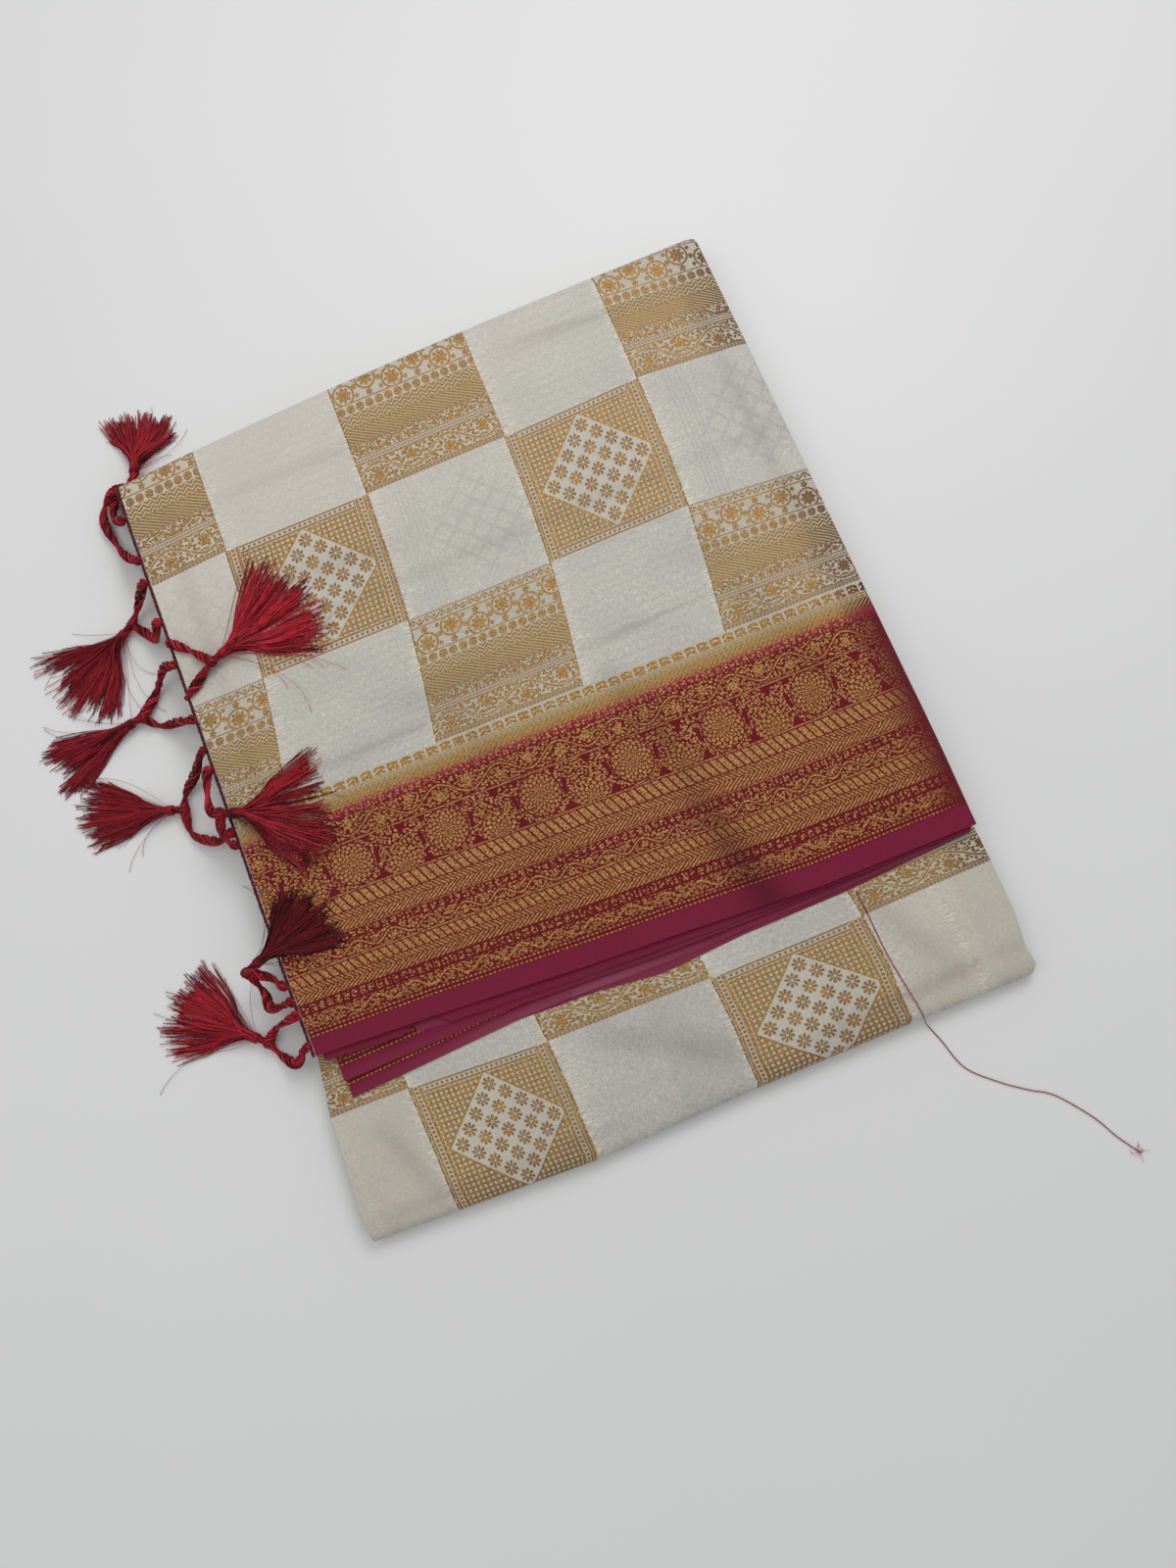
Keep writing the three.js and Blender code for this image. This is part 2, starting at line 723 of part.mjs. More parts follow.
add('folded_core', foldedCore(), 'layers');
add('lower_body', topSheet(lowerBodyPath, LOWER_LEFT, LOWER_RIGHT, true), 'check');
add('upper_body', topSheet(upperBodyPath, UPPER_LEFT, UPPER_RIGHT, false), 'check');
add('upper_border', topSheet(upperBorderPath, UPPER_LEFT, UPPER_RIGHT, false), 'border');
LEAVES.forEach((row, order) => add(`inner_selvedge_${order + 1}`, innerSelvedge(row, order), 'maroon'));
add('pallu_hem', palluHem(), 'hem');
TASSELS.forEach((row, order) => add(`tassel_${order + 1}`, tassel(row), 'silk'));
add('loose_thread', roundTube(THREAD_ROUTE, THREAD_RADIUS, 8, 44), 'silk');

export default group;
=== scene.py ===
"""A silk saree folded flat: checked tissue, a brocade border, hem, tassels and a loose thread."""
import json
import math
import random
from collections import namedtuple

import bpy
import numpy as np
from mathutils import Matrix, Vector

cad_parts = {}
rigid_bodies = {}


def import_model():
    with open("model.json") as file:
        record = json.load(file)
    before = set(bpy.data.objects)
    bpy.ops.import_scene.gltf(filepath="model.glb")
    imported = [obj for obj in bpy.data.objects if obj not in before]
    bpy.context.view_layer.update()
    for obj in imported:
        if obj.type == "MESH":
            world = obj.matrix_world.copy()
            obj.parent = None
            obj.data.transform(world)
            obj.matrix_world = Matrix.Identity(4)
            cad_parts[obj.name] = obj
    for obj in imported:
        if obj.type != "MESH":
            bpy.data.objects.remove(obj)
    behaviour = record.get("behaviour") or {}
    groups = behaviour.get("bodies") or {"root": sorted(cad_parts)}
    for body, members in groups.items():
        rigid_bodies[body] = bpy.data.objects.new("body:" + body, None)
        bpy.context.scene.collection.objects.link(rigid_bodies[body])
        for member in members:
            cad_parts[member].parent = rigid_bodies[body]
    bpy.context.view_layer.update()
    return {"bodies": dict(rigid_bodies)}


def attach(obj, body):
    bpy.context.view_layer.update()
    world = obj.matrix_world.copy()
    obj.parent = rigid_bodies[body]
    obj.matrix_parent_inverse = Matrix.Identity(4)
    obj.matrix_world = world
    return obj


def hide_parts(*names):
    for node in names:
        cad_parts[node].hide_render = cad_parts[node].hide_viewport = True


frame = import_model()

bl_info = {
    "name": "Folded saree",
    "version": (1, 0, 0),
    "blender": (4, 5, 0),
    "location": "3D View > Sidebar > Saree",
    "description": "Makes a saree folded flat, with its border, selvedges, hem and silk tassels",
    "category": "Add Mesh",
}

# The frame is in metres; tables and sizes of cloth below are in millimetres
MM = 0.001
BODY = next(iter(frame["bodies"]), "root")

# The folded bundle
WIDTH = 390.0
HALF_WIDTH = WIDTH / 2
LOWER_TOP = 12.0
UPPER_TOP = 21.0
BORDER_LINE_Y = -3.0
BORDER_DIP_Y = -102.0
SELVEDGE_TOP = 18.7
FLAP_BACK_Y = -96.5
FOLD_DEPTH = 10.0
ROLL_DEPTH = 11.0
UNDER_SEAM_Y = -5.0
EDGE_TURN = 0.9
EDGE_RETURN = 12.0
EDGE_DROOP = 1.1
EDGE_DROOP_WIDTH = 7.0
TURN_STEPS = 22
BACK_STEPS = 45

# Plan edges, as (x, y) or (y, x) places
FOLD_EDGE = [(-195, 223), (-147, 229), (-57, 238), (32, 245), (125, 250.5), (195, 254)]
SELVEDGE = [(-195, -142), (-125, -146), (-40, -152), (17, -155), (98, -160), (195, -160.5)]
ROLL_EDGE = [(-195, -243), (-151, -245), (-69, -249), (23, -247), (110, -247), (195, -248)]
UPPER_LEFT = [(-142, -193.2), (223, -195.2)]
UPPER_RIGHT = [(-160, 193.5), (80, 195.5), (254, 196)]
LOWER_LEFT = [(-249, -198), (-232, -200), (-177, -198.5), (-143, -194.5), (-97, -193), (254, -194.4)]
LOWER_RIGHT = [(-249, 188), (-244, 192), (-238, 191), (-233, 190.4), (-213, 193.4), (-181, 194),
               (-97, 193.5), (254, 195)]

# Cells of the check: their size, the diamond in every other one, the fainter diamond in a cream
# one, and where the lines between rows lie on the upper stretch
CELL = 90.0
CELL_HEIGHT = 78.0
DIAMOND_X = 46.8
DIAMOND_HALF_WIDTH = 36.5
DIAMOND_HALF_HEIGHT = 34.0
GHOST_X = 58.0
CELL_START = -147.0
ROW_1 = [(-192, 69.4), (-147, 70.9), (-63, 72.7), (29, 75.7), (121, 79), (197, 74.5)]
ROW_2 = [(-193, 149), (-145, 154.2), (-59, 157.7), (32, 162.3), (123.5, 169.4), (198, 166.2)]
ROW_3_GAP = 88.0
COLUMN_DRIFT = [(-3, -15.6), (35, -9.8), (76, -5.0), (115, -2.5), (160, -1.0), (235, -0.5)]
LOWER_COLUMNS = [(-246, -1), (-154.5, 0), (-76.5, 1), (18.7, 2), (110.5, 3), (202, 4)]
LOWER_LEAN = 0.055
LOWER_LINE = [(-200, -175.3), (-155, -176.4), (-73, -181.5), (19, -183.5), (113, -183.5), (205, -182)]
LOWER_ROW = 74.0

# Border: its width from the check to the edge as woven and as laid out for its mesh, and how
# much of that is plain selvedge, as woven and as it shows along x
BORDER_WIDTH = 147.0
BORDER_LENGTH = 150.0
PLAIN_WIDTH = 13.9
PLAIN_SHOWN = [(-195, 9.4), (-60, 11.5), (60, 12.5), (195, 13)]

# Creases pressed or slumped into the cloth: start, end, depth (below zero is a ridge), half width
UPPER_CREASES = [
    ((34, 0), (62, -140), 0.9, 9),
    ((-60, 20), (-30, -130), 0.5, 12),
    ((120, 60), (160, -120), 0.45, 14),
    ((26, 17.5), (110, 21.5), 0.6, 2.6),
    ((-142, 7), (-64, 10), 0.55, 2.6),
    ((48, 92), (118, 72), 0.3, 3),
    ((49, 222), (128, 219), 0.35, 3),
    ((-195, 92), (195, 108), 0.3, 5),
    ((-195, 185), (20, 196), 0.25, 4),
    ((40, 214), (195, 222), 0.25, 4),
    ((-120, 226), (60, 240), -0.35, 4),
    ((-150, 128), (-40, 118), 0.3, 7),
    ((10, 132), (110, 141), -0.3, 6),
    ((-100, 30), (10, 22), 0.35, 8),
    ((70, 20), (190, 40), -0.35, 9),
    ((-190, -60), (-120, -30), 0.4, 8),
    ((150, -60), (194, -90), -0.4, 8),
    ((-170, -110), (-40, -118), 0.35, 6),
    ((176, 240), (184, -150), 0.35, 5),
    ((-178, 215), (-172, -130), 0.3, 5),
]
LOWER_CREASES = [
    ((-195, -234), (-40, -238), 0.5, 4),
    ((-50, -186), (24, -232), 0.8, 9),
    ((60, -236), (194, -230), 0.7, 5),
    ((-120, -176), (-96, -240), -0.5, 8),
    ((120, -170), (150, -240), 0.5, 7),
    ((158, -168), (168, -244), -0.5, 5),
    ((-178, -190), (-150, -240), 0.6, 6),
    ((-20, -200), (-10, -244), -0.4, 10),
]

# Inner selvedges below the top layer, uppermost first: left corner, height of the top, how far
# the free edge sinks, width of the plain selvedge that shows, how much painted sheen lightens the
# silk near its edge, and the edge as (x, y). Those with a node stand for it.
LEAVES = [
    {"node": "inner_selvedge_1", "left": -190, "top": 17.2, "sink": 0.5, "plain": 12.5,
     "pale": 0.0,
     "edge": [(-190, -146), (-145, -149.4), (-142, -146.6), (-127, -144.5), (-121, -151.8),
              (0, -158.5), (100, -161.5), (190, -161.5)]},
    {"node": "inner_selvedge_2", "left": -184, "top": 15.9, "sink": 0.8, "plain": 7.6,
     "pale": 0.1,
     "edge": [(-184, -160), (-134, -159), (-84, -157.5), (0, -161.5), (100, -163), (190, -162)]},
    {"node": "inner_selvedge_3", "left": -183, "top": 14.6, "sink": 1.5, "plain": 6.3,
     "pale": 0.4,
     "edge": [(-183, -169.5), (-150, -168), (-85, -164.5), (0, -164), (100, -164), (190, -162.5)]},
    {"node": "inner_selvedge_4", "left": -100, "top": 13.3, "sink": 0.5, "plain": 12.5,
     "pale": 0.2,
     "edge": [(-100, -164), (-39, -166.5), (-2, -171), (48, -168), (108, -167.5), (190, -163)]},
    {"node": None, "left": -139, "top": 16.6, "sink": 0.6, "plain": 12.0,
     "pale": 0.5,
     "edge": [(-139, -150), (-120, -152.5), (-40, -157), (40, -160.4), (120, -162), (190, -161.8)]},
    {"node": None, "left": -96, "top": 14.0, "sink": 0.8, "plain": 12.0,
     "pale": 0.6,
     "edge": [(-96, -163), (-30, -165.2), (20, -166.6), (90, -165.2), (190, -162.8)]},
]

# Tassels, as in the hem's knots: neck, aim and half spread in degrees, reach, height of what the
# tips lie on, how light the silk looks, and for each leg its stops from the knot, its place on
# the hem, and whether it passes over the cloth
TASSELS = [
    {"neck": (-186.5, 234.5, 5), "aim": 66, "tone": 0.75, "spread": 36, "reach": 44, "onto": 0,
     "legs": [([(-203, 227, 4), (-213, 212, 3.5), (-209, 188, 6)], 169, False),
              ([(-201.5, 221, 6), (-206, 207, 9)], 197, False)]},
    {"neck": (-222, 136, 4.4), "aim": -148, "tone": 0.7, "spread": 34, "reach": 56, "onto": 0,
     "legs": [([(-210, 147, 7)], 153, False), ([(-209, 129, 5), (-204, 121, 12)], 126, False)]},
    {"neck": (-169.6, 91.6, 26), "aim": 20, "tone": 1.0, "spread": 37, "reach": 66, "onto": 21,
     "legs": [([(-185, 101, 23.6)], 111, True), ([(-188, 81, 23.6)], 75, True)]},
    {"neck": (-234, 80, 4.8), "aim": -169, "tone": 0.7, "spread": 24, "reach": 55, "onto": 0,
     "legs": [([(-216, 93, 4), (-206, 102, 12)], 98, False),
              ([(-220, 73, 3), (-208, 69, 9)], 62.5, False)]},
    {"neck": (-227.7, 21, 4.8), "aim": 163, "tone": 0.65, "spread": 27, "reach": 55, "onto": 0,
     "legs": [([(-218, 28, 4), (-208, 35, 10)], 42, False),
              ([(-222, 4, 3), (-209, -7, 9)], -9, False)]},
    {"neck": (-192.5, 0, 26.4), "aim": -20, "tone": 0.75, "spread": 40, "reach": 57, "onto": 21,
     "legs": [([(-204, 7, 22), (-203, 18, 20)], 29.5, False), ([(-201.5, -8, 23)], -16, False)]},
    {"neck": (-207, -84, 22.8), "aim": 22, "tone": 0.22, "spread": 30, "reach": 50, "onto": 21,
     "legs": [([(-210, -98, 12), (-209, -108, 12)], -110, False),
              ([(-203, -93, 17)], -100, False)]},
    {"neck": (-223, -119.7, 4.4), "aim": 138, "tone": 1.0, "spread": 34, "reach": 56, "onto": 0,
     "legs": [([(-212, -119, 6)], -118, False),
              ([(-213, -134, 4), (-206, -141, 9)], -136, False)]},
]

# Sizes that the tassels share: how far the knot lies behind the neck and its radius, the silk's
# bundle and the winding at the neck, the legs with the length of one twist, and their small knots
KNOT_BACK = 6.5
KNOT_RADIUS = 3.2
NECK_HOLD = 2.3
NECK_RADIUS = 2.75
NECK_LENGTH = 3.6
NECK_TURNS = 6
LEG_RADIUS = 1.75
LEG_TWIST = 17.0
LEG_STRANDS = 11
LEG_KNOT = 2.1
HEM_KNOT = 1.8
CLUMPS = 30
SKIRT_POINTS = 9
STRAYS = 14
STRAY_POINTS = 12
WOUND_STEPS = 12
STRAY_RADIUS = 0.13
CLOTH_EDGE_X = -196.5

# Route of the loose thread, in metres
THREAD_ROUTE = [
    (0.1154, -0.1692, 0.0129), (0.116, -0.178, 0.0127), (0.1162, -0.204, 0.0127),
    (0.1175, -0.219, 0.0127), (0.1194, -0.234, 0.0129), (0.1204, -0.242, 0.0121),
    (0.1214, -0.2476, 0.0084), (0.1223, -0.2499, 0.0036), (0.1242, -0.254, 0.0008),
    (0.127, -0.262, 0.0006), (0.1326, -0.28, 0.0006), (0.1466, -0.294, 0.0006),
    (0.16, -0.304, 0.0006), (0.172, -0.312, 0.0006), (0.186, -0.33, 0.0006),
    (0.193, -0.3435, 0.0006), (0.201, -0.356, 0.0006),
]
THREAD_DIAMETER = 0.0006
TIP_HAIRS = 16
TIP_HAIR_RADIUS = 0.08

# Camera, in metres and degrees, and how far the floor reaches
VIEW_PLACE = (-0.0597, -0.2017, 0.6675)
VIEW_TURN = (13.5, 0, -22)
FLOOR_HALF = 8.0

WEAVE = "weave"
SHADE = "shade"
TONE_AND_PAINTED_LIGHT = "tone"
THICK = "thick"
SEED = 31


def length_of(name, description, default, **limits):
    return bpy.props.FloatProperty(name=name, description=description, default=default,
                                   subtype="DISTANCE", unit="LENGTH", **limits)


def colour_of(name, description, default):
    return bpy.props.FloatVectorProperty(name=name, description=description, default=default,
                                         size=3, subtype="COLOR")


class SareeCloth(bpy.types.PropertyGroup):
    grid: length_of("Grid", "Spacing of the cloth's mesh", 2.0 * MM, min=0.001)
    thickness: length_of("Cloth", "Thickness of one layer of cloth", 0.4 * MM)
    cream: colour_of("Cream", "Tissue ground of the check", (0.6, 0.575, 0.505))
    gold: colour_of("Gold", "Metal thread of the brocade", (0.425, 0.238, 0.064))
    brown: colour_of("Brown", "Metal thread turned from the light", (0.235, 0.114, 0.019))
    maroon: colour_of("Maroon", "Ground of the border", (0.2, 0.014, 0.042))


class SareeSilk(bpy.types.PropertyGroup):
    strands: bpy.props.IntProperty(
        name="Strands", description="Strands in the skirt of one tassel", default=330, min=20)
    strand_width: length_of("Strand", "Radius of one strand", 0.33 * MM)
    silk: colour_of("Silk", "Lit silk of the tassels", (0.6, 0.024, 0.043))
    silk_dark: colour_of("Dark silk", "Silk deep in the tassels", (0.02, 0.001, 0.0028))


class SareeStage(bpy.types.PropertyGroup):
    floor: colour_of("Floor", "Pale surface under the saree", (0.8, 0.8, 0.788))
    lens: bpy.props.FloatProperty(
        name="Lens", description="Focal length of the camera in millimetres", default=27.0)
    sky: bpy.props.FloatProperty(
        name="Sky", description="Strength of the light from all round", default=0.54)
    key: bpy.props.FloatProperty(
        name="Key", description="Power of the large soft light", default=5.9)


def along(table, at):
    return np.interp(at, [row[0] for row in table], [row[1] for row in table])


def smooth(value, low, high):
    part = np.clip((np.asarray(value, float) - low) / (high - low), 0, 1)
    return part * part * (3 - 2 * part)


def scaled(colour, factor):
    """A colour made lighter or darker, kept to what a surface can reflect."""
    return tuple(min(1.0, part * factor) for part in colour)


def link(obj):
    bpy.context.scene.collection.objects.link(obj)
    return obj


# Shader fields

def add_node(tree, kind, **settings):
    """A new node in a tree, with its settings given by name."""
    node = tree.nodes.new(kind)
    for name, value in settings.items():
        setattr(node, name, value)
    return node


def put(tree, value, socket):
    """Link a field or a socket to an input, or set the input to a plain value."""
    if isinstance(value, Field):
        tree.links.new(value.socket, socket)
    elif isinstance(value, bpy.types.NodeSocket):
        tree.links.new(value, socket)
    else:
        socket.default_value = value


def calc(tree, operation, *values, clamp=False):
    node = add_node(tree, "ShaderNodeMath", operation=operation, use_clamp=clamp)
    for socket, value in zip(node.inputs, values):
        put(tree, value, socket)
    return Field(tree, node.outputs[0])


def maths(operation, swapped=False):
    """A method that gives a field, and what follows it, to a maths node."""
    def method(self, *others):
        values = (*others, self) if swapped else (self, *others)
        return calc(self.tree, operation, *values)
    return method


class Field:
    """A number that changes over a surface, as it passes from node to node."""

    def __init__(self, tree, socket):
        self.tree = tree
        self.socket = socket

    __add__ = maths("ADD")
    __radd__ = maths("ADD")
    __sub__ = maths("SUBTRACT")
    __rsub__ = maths("SUBTRACT", swapped=True)
    __mul__ = maths("MULTIPLY")
    __rmul__ = maths("MULTIPLY")
    __truediv__ = maths("DIVIDE")
    floor = maths("FLOOR")
    fract = maths("FRACT")
    abs = maths("ABSOLUTE")
    sin = maths("SINE")
    cos = maths("COSINE")
    sign = maths("SIGN")
    least = maths("MINIMUM")
    most = maths("MAXIMUM")

    def ramp(self, gain, offset):
        """The field times a gain, plus an offset, kept from 0 to 1."""
        return calc(self.tree, "MULTIPLY_ADD", self, gain, offset, clamp=True)

    def centred(self, pitch, shift=0.0):
        """Distance from the middle of the repeat that a place falls in."""
        turn = self / pitch + shift if shift else self / pitch
        return (turn.fract() - 0.5) * pitch

    def inside(self, size, soft=0.6):
        """One where the field is below size, with a soft edge."""
        if isinstance(size, Field):
            return (self - size).ramp(-1 / soft, 0.5)
        return self.ramp(-1 / soft, 0.5 + size / soft)

    def between(self, low, high, soft=0.4):
        middle = (low + high) / 2
        return (self - middle).abs().inside((high - low) / 2, soft)


def hypot(a, b):
    return calc(a.tree, "SQRT", a * a + b * b)


def polar(x, y):
    """Distance from a centre, and the angle round it."""
    return hypot(x, y), calc(x.tree, "ARCTAN2", y, x)


def mix(tree, factor, first, second):
    node = add_node(tree, "ShaderNodeMix", data_type="RGBA")
    put(tree, factor, node.inputs["Factor"])
    for name, value in (("A", first), ("B", second)):
        socket = next(s for s in node.inputs if s.name == name and s.type == "RGBA")
        put(tree, (*value, 1) if isinstance(value, tuple) else value, socket)
    return next(s for s in node.outputs if s.type == "RGBA")


def weave_place(tree):
    """Place on the weave along the saree and across it, from the cloth's own map."""
    return split(tree, add_node(tree, "ShaderNodeUVMap", uv_map=WEAVE).outputs["UV"])[:2]


def object_point(tree):
    """Place of a surface in the object's own frame, in millimetres."""
    scale = add_node(tree, "ShaderNodeVectorMath", operation="SCALE")
    scale.inputs["Scale"].default_value = 1 / MM
    place = add_node(tree, "ShaderNodeTexCoord")
    put(tree, place.outputs["Object"], scale.inputs[0])
    return scale.outputs[0]


def split(tree, vector):
    node = add_node(tree, "ShaderNodeSeparateXYZ")
    put(tree, vector, node.inputs[0])
    return [Field(tree, out) for out in node.outputs]


def join(tree, x, y, z=0.0):
    node = add_node(tree, "ShaderNodeCombineXYZ")
    for socket, value in zip(node.inputs, (x, y, z)):
        put(tree, value, socket)
    return node.outputs[0]


def noise(tree, vector, scale, detail=2.0, rough=0.5):
    node = add_node(tree, "ShaderNodeTexNoise")
    put(tree, vector, node.inputs["Vector"])
    for name, value in (("Scale", scale), ("Detail", detail), ("Roughness", rough)):
        node.inputs[name].default_value = value
    return Field(tree, node.outputs["Fac"])


def mottle(x, y, across, along_it, detail=1.0, rough=0.5):
    """Noise over a surface, with so many cells to the millimetre each way."""
    return noise(x.tree, join(x.tree, x * across, y * along_it), 1.0, detail, rough)


def attribute(tree, name):
    return Field(tree, add_node(tree, "ShaderNodeAttribute", attribute_name=name).outputs["Fac"])


def new_group(name, inputs, build):
    """A node group of numbers: inputs by name with their start values, and what build returns."""
    tree = bpy.data.node_groups.new(name, "ShaderNodeTree")
    for label, value in inputs.items():
        socket = tree.interface.new_socket(label, in_out="INPUT", socket_type="NodeSocketFloat")
        socket.default_value = value
    start = add_node(tree, "NodeGroupInput")
    results = build(*[Field(tree, start.outputs[label]) for label in inputs])
    end = add_node(tree, "NodeGroupOutput")
    for label, value in results.items():
        tree.interface.new_socket(label, in_out="OUTPUT", socket_type="NodeSocketFloat")
        put(tree, value, end.inputs[label])


def use(name, x, y, *sizes, out="Mask"):
    """What a group puts out at a place along and across a row, with its sizes in order."""
    node = add_node(x.tree, "ShaderNodeGroup", node_tree=bpy.data.node_groups[name])
    for socket, value in zip(node.inputs, (x, y, *sizes)):
        put(x.tree, value, socket)
    return Field(x.tree, node.outputs[out])


# Woven motifs: each takes places along and across a row, in millimetres from its middle

def beads(x, y, pitch, size):
    near = x.centred(pitch)
    slit = near.abs().least(y.abs()).inside(0.2, 0.5)
    return {"Mask": hypot(near, y).inside(size) * (1 - slit * 0.8)}


def strokes(x, y, pitch, slant, fill):
    line = (x + y * slant).centred(pitch).abs()
    return {"Mask": line.inside(pitch * fill * 0.5, 0.5)}


def flower(x, y, size, petals):
    """A round flower head with petals, an eye and gaps between the petals."""
    away, turn = polar(x, y)
    lobe = (turn * petals * 0.5).cos().abs()
    rim = size * 0.62 + lobe * size * 0.42
    eye = (away - size * 0.28).abs().inside(0.25, 0.5)
    return {"Mask": away.inside(rim, 0.7) * (1 - eye * 0.75)}


def star(x, y, size):
    """A flower head split into eight short petals."""
    away, turn = polar(x, y)
    swing = (turn * 4.0 + math.pi / 2).cos().abs()
    gap = swing.inside(away * 0.1 + 0.16, 0.3)
    rim = size * 0.76 + swing * size * 0.3
    return {"Mask": away.inside(rim, 0.4) * (1 - gap) * (1 - away.inside(0.75, 0.3))}


def vine(x, y, wave, swing):
    """A wavy stem with a flower head in each of its hollows and leaf dashes round it."""
    rise = (x * (2 * math.pi) / wave).sin()
    from_stem = (y - rise * swing).abs()
    stem = from_stem.inside(0.6, 0.4)
    half = wave * 0.5
    near = (x / half).fract() - 0.5
    head_y = y + rise.sign() * swing * 0.42
    head = use("Flower", near * half, head_y, swing * 0.62, 9.0)
    clear = from_stem.inside(1.25)
    return {"Mask": stem.most(head * (1 - clear)), "Clear": stem.most(clear)}


def dashes(x, y, size):
    """Short leaf shapes scattered close together, as brocade fills its ground."""
    tree = x.tree
    node = add_node(tree, "ShaderNodeTexVoronoi", voronoi_dimensions="2D", feature="F1")
    put(tree, join(tree, x / size, y / (size * 0.7)), node.inputs["Vector"])
    node.inputs["Scale"].default_value = 1.0
    return {"Mask": Field(tree, node.outputs["Distance"]).inside(0.43, 0.14)}


def grain(x, y):
    """Height and tone of the woven threads, in millimetres along and across the cloth."""
    cross = mottle(x, y, 0.35, 1.6, 2.0, 0.6)
    weft = mottle(x, y, 1.5, 0.3, 2.0, 0.6)
    cloud = mottle(x, y, 0.02, 0.03, 2.0)
    return {"Height": cross * 0.6 + weft * 0.4, "Tone": cross * 0.5 + weft * 0.5, "Cloud": cloud}


def make_motifs():
    places = {"Along": 0.0, "Across": 0.0}
    new_group("Beads", {**places, "Pitch": 6.0, "Size": 2.4}, beads)
    new_group("Strokes", {**places, "Pitch": 3.0, "Slant": 1.0, "Fill": 0.6}, strokes)
    new_group("Flower", {**places, "Size": 4.0, "Petals": 8.0}, flower)
    new_group("Star", {**places, "Size": 3.3}, star)
    new_group("Vine", {**places, "Wave": 40.0, "Swing": 5.0}, vine)
    new_group("Dashes", {**places, "Size": 1.8}, dashes)
    new_group("Grain", places, grain)


# A row of a weave lies from one height to another: a plain line, or a motif about a middle
Row = namedtuple("Row", "low high motif middle sizes", defaults=("", 0.0, ()))

CELL_ROWS = [
    Row(0.2, 2.6, "Beads", 1.4, (2.3, 1.0)),
    Row(2.7, 3.3),
    Row(17.4, 18.1),
    Row(18.6, 20.4, "Beads", 19.5, (1.9, 0.7)),
    Row(20.9, 21.4),
    Row(28.7, 29.3),
    Row(38.8, 39.4),
    Row(47.4, 53.4, "Beads", 50.4, (6.2, 2.5)),
    Row(53.7, 54.3),
    Row(70.9, 71.5),
    Row(71.7, 76.8, "Vine", 74.3, (9.0, 1.5)),
    Row(76.8, 78.0, "Beads", 77.4, (1.7, 0.6)),
]
BORDER_ROWS = [
    Row(6.7, 7.2),
    Row(7.0, 10.6, "Beads", 8.8, (3.4, 1.2)),
    Row(9.8, 16.2, "Strokes", 12.5, (3.2, 1.4, 0.7)),
    Row(35.1, 35.9),
    Row(62.5, 63.3),
    Row(63.9, 72.2, "Strokes", 68.2, (5.0, -0.5, 0.78)),
    Row(72.8, 77.0, "Strokes", 74.6, (2.6, -1.1, 0.66)),
    Row(77.2, 82.7, "Strokes", 79.6, (3.0, 1.5, 0.68)),
    Row(83.1, 83.7),
    Row(97.5, 98.4),
    Row(99.0, 104.8, "Strokes", 102.2, (4.4, -0.5, 0.78)),
    Row(105.2, 108.8, "Strokes", 106.4, (2.6, -1.1, 0.66)),
    Row(109.0, 114.0, "Strokes", 111.0, (3.0, 1.5, 0.68)),
]
# Rows of single leaves in the border: where each lies, the leaves' spacing and half width
LEAF_ROWS = [(16.3, 20.6, 4.4, 1.7), (84.3, 88.3, 4.7, 1.75), (115.1, 119.3, 4.7, 1.75)]


def most_of(masks):
    total = masks[0]
    for mask in masks[1:]:
        total = total.most(mask)
    return total


def common_rows(x, y, table):
    """Masks of a table's rows."""
    masks = []
    for row in table:
        mask = y.between(row.low, row.high)
        masks.append(use(row.motif, x, y - row.middle, *row.sizes) * mask if row.motif else mask)
    return masks


def leafy_vine(x, y, sizes, leaf, apart=True):
    """A vine among leaves, which keep clear of its stem where apart is true."""
    if apart:
        leaf = leaf * (1 - use("Vine", x, y, *sizes, out="Clear"))
    return use("Vine", x, y, *sizes).most(leaf)


def band_cell(x, y):
    """Rows of a gold cell, from its lower line up: beads, vine, strokes, zigzags, rosettes."""
    vine_row = leafy_vine(x, y - 10.2, (46.0, 5.2), use("Dashes", x, y, 2.3) * 0.85)
    small_vine = leafy_vine(x, y - 25.1, (24.0, 2.4), use("Dashes", x, y, 1.6) * 0.7, apart=False)
    slants = use("Strokes", x, y - 34.0, 3.6, 1.9, 0.6)
    chevron = y + ((x / 5.6).fract() - 0.5).abs() * 5.0
    return most_of([
        *common_rows(x, y, CELL_ROWS),
        vine_row * y.between(3.4, 17.2),
        small_vine * y.between(21.7, 28.5),
        slants * y.between(29.5, 38.6) * 0.82,
        chevron.centred(2.6).abs().inside(0.6) * y.between(39.7, 47.3) * 0.82,
        rosette_row(x, y - 62.6) * y.between(54.5, 70.7),
    ])


def rosette_row(x, y):
    """Large rosettes high and low by turns, with buds between them."""
    pitch = 16.0
    low = (x * (math.pi / pitch)).sin().sign()
    near = x.centred(pitch)
    height = y + low * 2.9
    head = use("Flower", near, height, 4.6, 8.0)
    ring = (hypot(near, height) - 6.2).abs().inside(0.5)
    side = use("Flower", near, y - low * 6.0, 2.0, 5.0)
    corner = x.centred(pitch, 0.5)
    bud = hypot(corner, y).inside(1.5) + hypot(corner, y.abs() - 5.6).inside(1.2)
    return most_of([head, ring, side, bud])


STAR_SIZE = 4.0
STAR_DARK = 0.52
STARS_ACROSS = 5.0
NET_PITCH = (3.2, 2.95)


def diamond_place(x, y, middle):
    """Place across and up a cell's diamond, one at its corners."""
    return (x - middle) / DIAMOND_HALF_WIDTH, (y - CELL_HEIGHT / 2) / DIAMOND_HALF_HEIGHT


